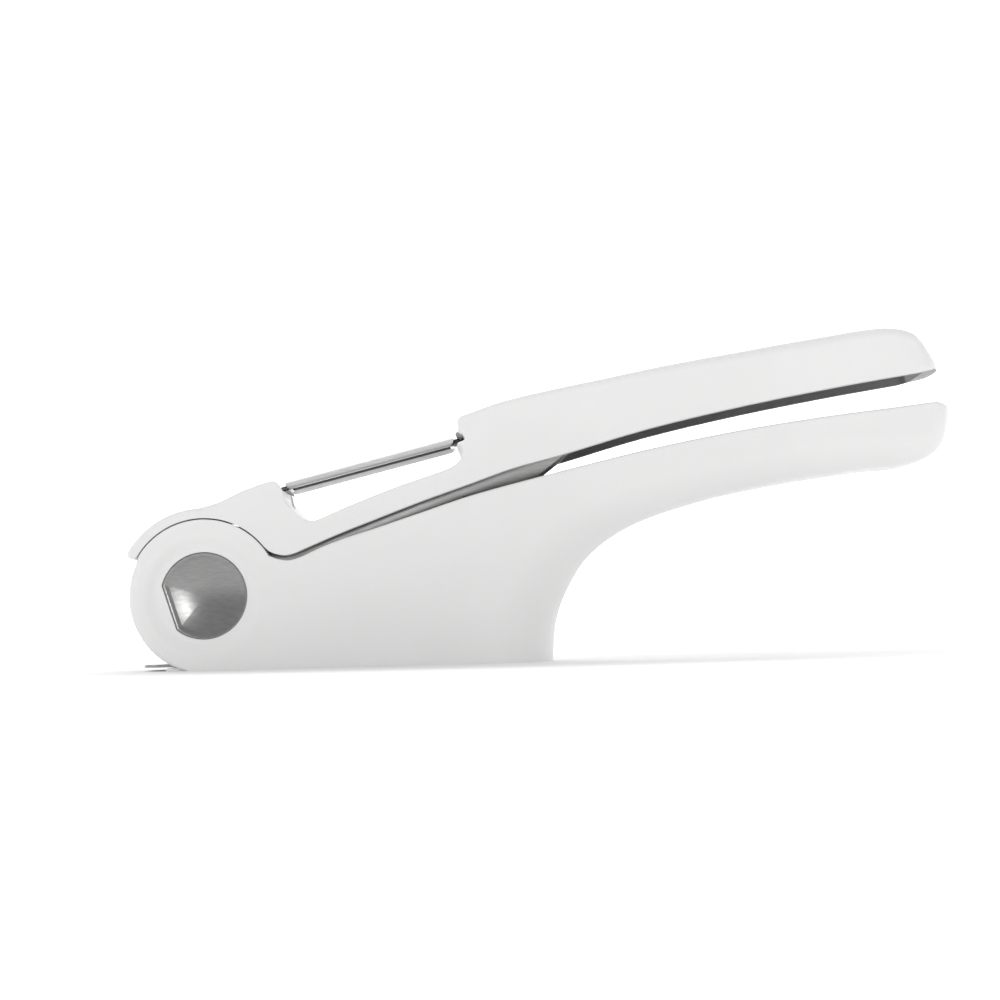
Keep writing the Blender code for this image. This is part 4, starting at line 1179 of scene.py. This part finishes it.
def panel(name, spot, turn, width, height, made_of):
    """A flat panel of the stage."""
    deselect()
    bpy.ops.mesh.primitive_plane_add(size=1.0, location=spot, rotation=turn)
    made = bpy.context.object
    made.name = name
    made.scale = (width, height, 1.0)
    bpy.ops.object.transform_apply(location=True, rotation=True, scale=True)
    made.data.materials.append(made_of)
    return made


class PRESS_OT_stage(bpy.types.Operator):
    """Sets up the floor, the backdrop, the lights and the camera"""

    bl_idname = "press.stage"
    bl_label = "Stage"

    def execute(self, context):
        stage = context.scene.press_stage
        # The floor's glow is painted light, faded out near the press.
        panel("floor", (0.0, 0.0, 0.0), (0.0, 0.0, 0.0), 8.0, 8.0, floor_paper(tuple(stage.floor), 0.42))
        panel("backdrop", (0.0, 2.2, 1.5), (pi / 2, 0.0, 0.0), 8.0, 3.4, plain("backdrop_paper", (0.9, 0.9, 0.9), 1.3))
        world = context.scene.world or bpy.data.worlds.new("room")
        context.scene.world = world
        world.use_nodes = True
        sky = world.node_tree.nodes["Background"]
        sky.inputs["Color"].default_value = (1.0, 1.0, 1.0, 1.0)
        sky.inputs["Strength"].default_value = stage.room
        soft_light("key_light", (-1.15, -0.65, 0.6), (0.0, 0.0, 0.03), 0.7, 0.7, stage.key)
        soft_light("fill_light", (0.85, -0.95, 0.5), (0.0, 0.0, 0.03), 0.8, 0.7, stage.key * 0.75)
        soft_light("top_light", (0.0, 0.25, 1.1), (0.0, 0.0, 0.0), 1.1, 0.8, stage.key * 0.55)
        soft_light("glint_light", (-0.024, -1.01, 0.131), (HINGE_X * MM, 0.0, HINGE_Z * MM), 0.15, 0.11, 0.45)
        deselect()
        bpy.ops.object.camera_add(location=(-0.0023, -0.479, 0.01))
        camera = context.object
        camera.name = "camera"
        camera.data.lens = stage.lens
        camera.data.sensor_width = 36.0
        camera.data.clip_start = 0.01
        camera.data.clip_end = 20.0
        yaw = radians(-0.948)
        pitch = radians(3.568)
        roll = radians(-1.474)
        turn = (Matrix.Rotation(-yaw, 3, "Z") @ Matrix.Rotation(pi / 2 + pitch, 3, "X")
                @ Matrix.Rotation(roll, 3, "Z"))
        camera.rotation_mode = "QUATERNION"
        camera.rotation_quaternion = turn.to_quaternion()
        context.scene.camera = camera
        context.scene.view_settings.view_transform = "Standard"
        deselect()
        return {"FINISHED"}


class PRESS_PT_panel(bpy.types.Panel):
    """Lists the pieces in the sidebar"""

    bl_idname = "PRESS_PT_panel"
    bl_label = "Garlic Press"
    bl_space_type = "VIEW_3D"
    bl_region_type = "UI"
    bl_category = "Garlic Press"

    def draw(self, context):
        for step in STEPS:
            self.layout.operator(step.bl_idname)
        for group in (context.scene.press_sizes, context.scene.press_colours, context.scene.press_stage):
            box = self.layout.box()
            for name in group.__annotations__:
                box.prop(group, name)


STEPS = (PRESS_OT_body, PRESS_OT_lever, PRESS_OT_plugs, PRESS_OT_blade, PRESS_OT_strainer, PRESS_OT_steelwork,
         PRESS_OT_inserts, PRESS_OT_screws, PRESS_OT_stage)
GROUPS = (("press_sizes", PressSizes), ("press_colours", PressColours), ("press_stage", StageSettings))


def register():
    for name, group in GROUPS:
        bpy.utils.register_class(group)
        setattr(bpy.types.Scene, name, bpy.props.PointerProperty(type=group))
    for step in STEPS:
        bpy.utils.register_class(step)
    bpy.utils.register_class(PRESS_PT_panel)


def unregister():
    bpy.utils.unregister_class(PRESS_PT_panel)
    for step in reversed(STEPS):
        bpy.utils.unregister_class(step)
    for name, group in reversed(GROUPS):
        delattr(bpy.types.Scene, name)
        bpy.utils.unregister_class(group)


def main():
    register()
    for step in STEPS:
        area, name = step.bl_idname.split(".")
        getattr(getattr(bpy.ops, area), name)()


if __name__ == "__main__":
    main()
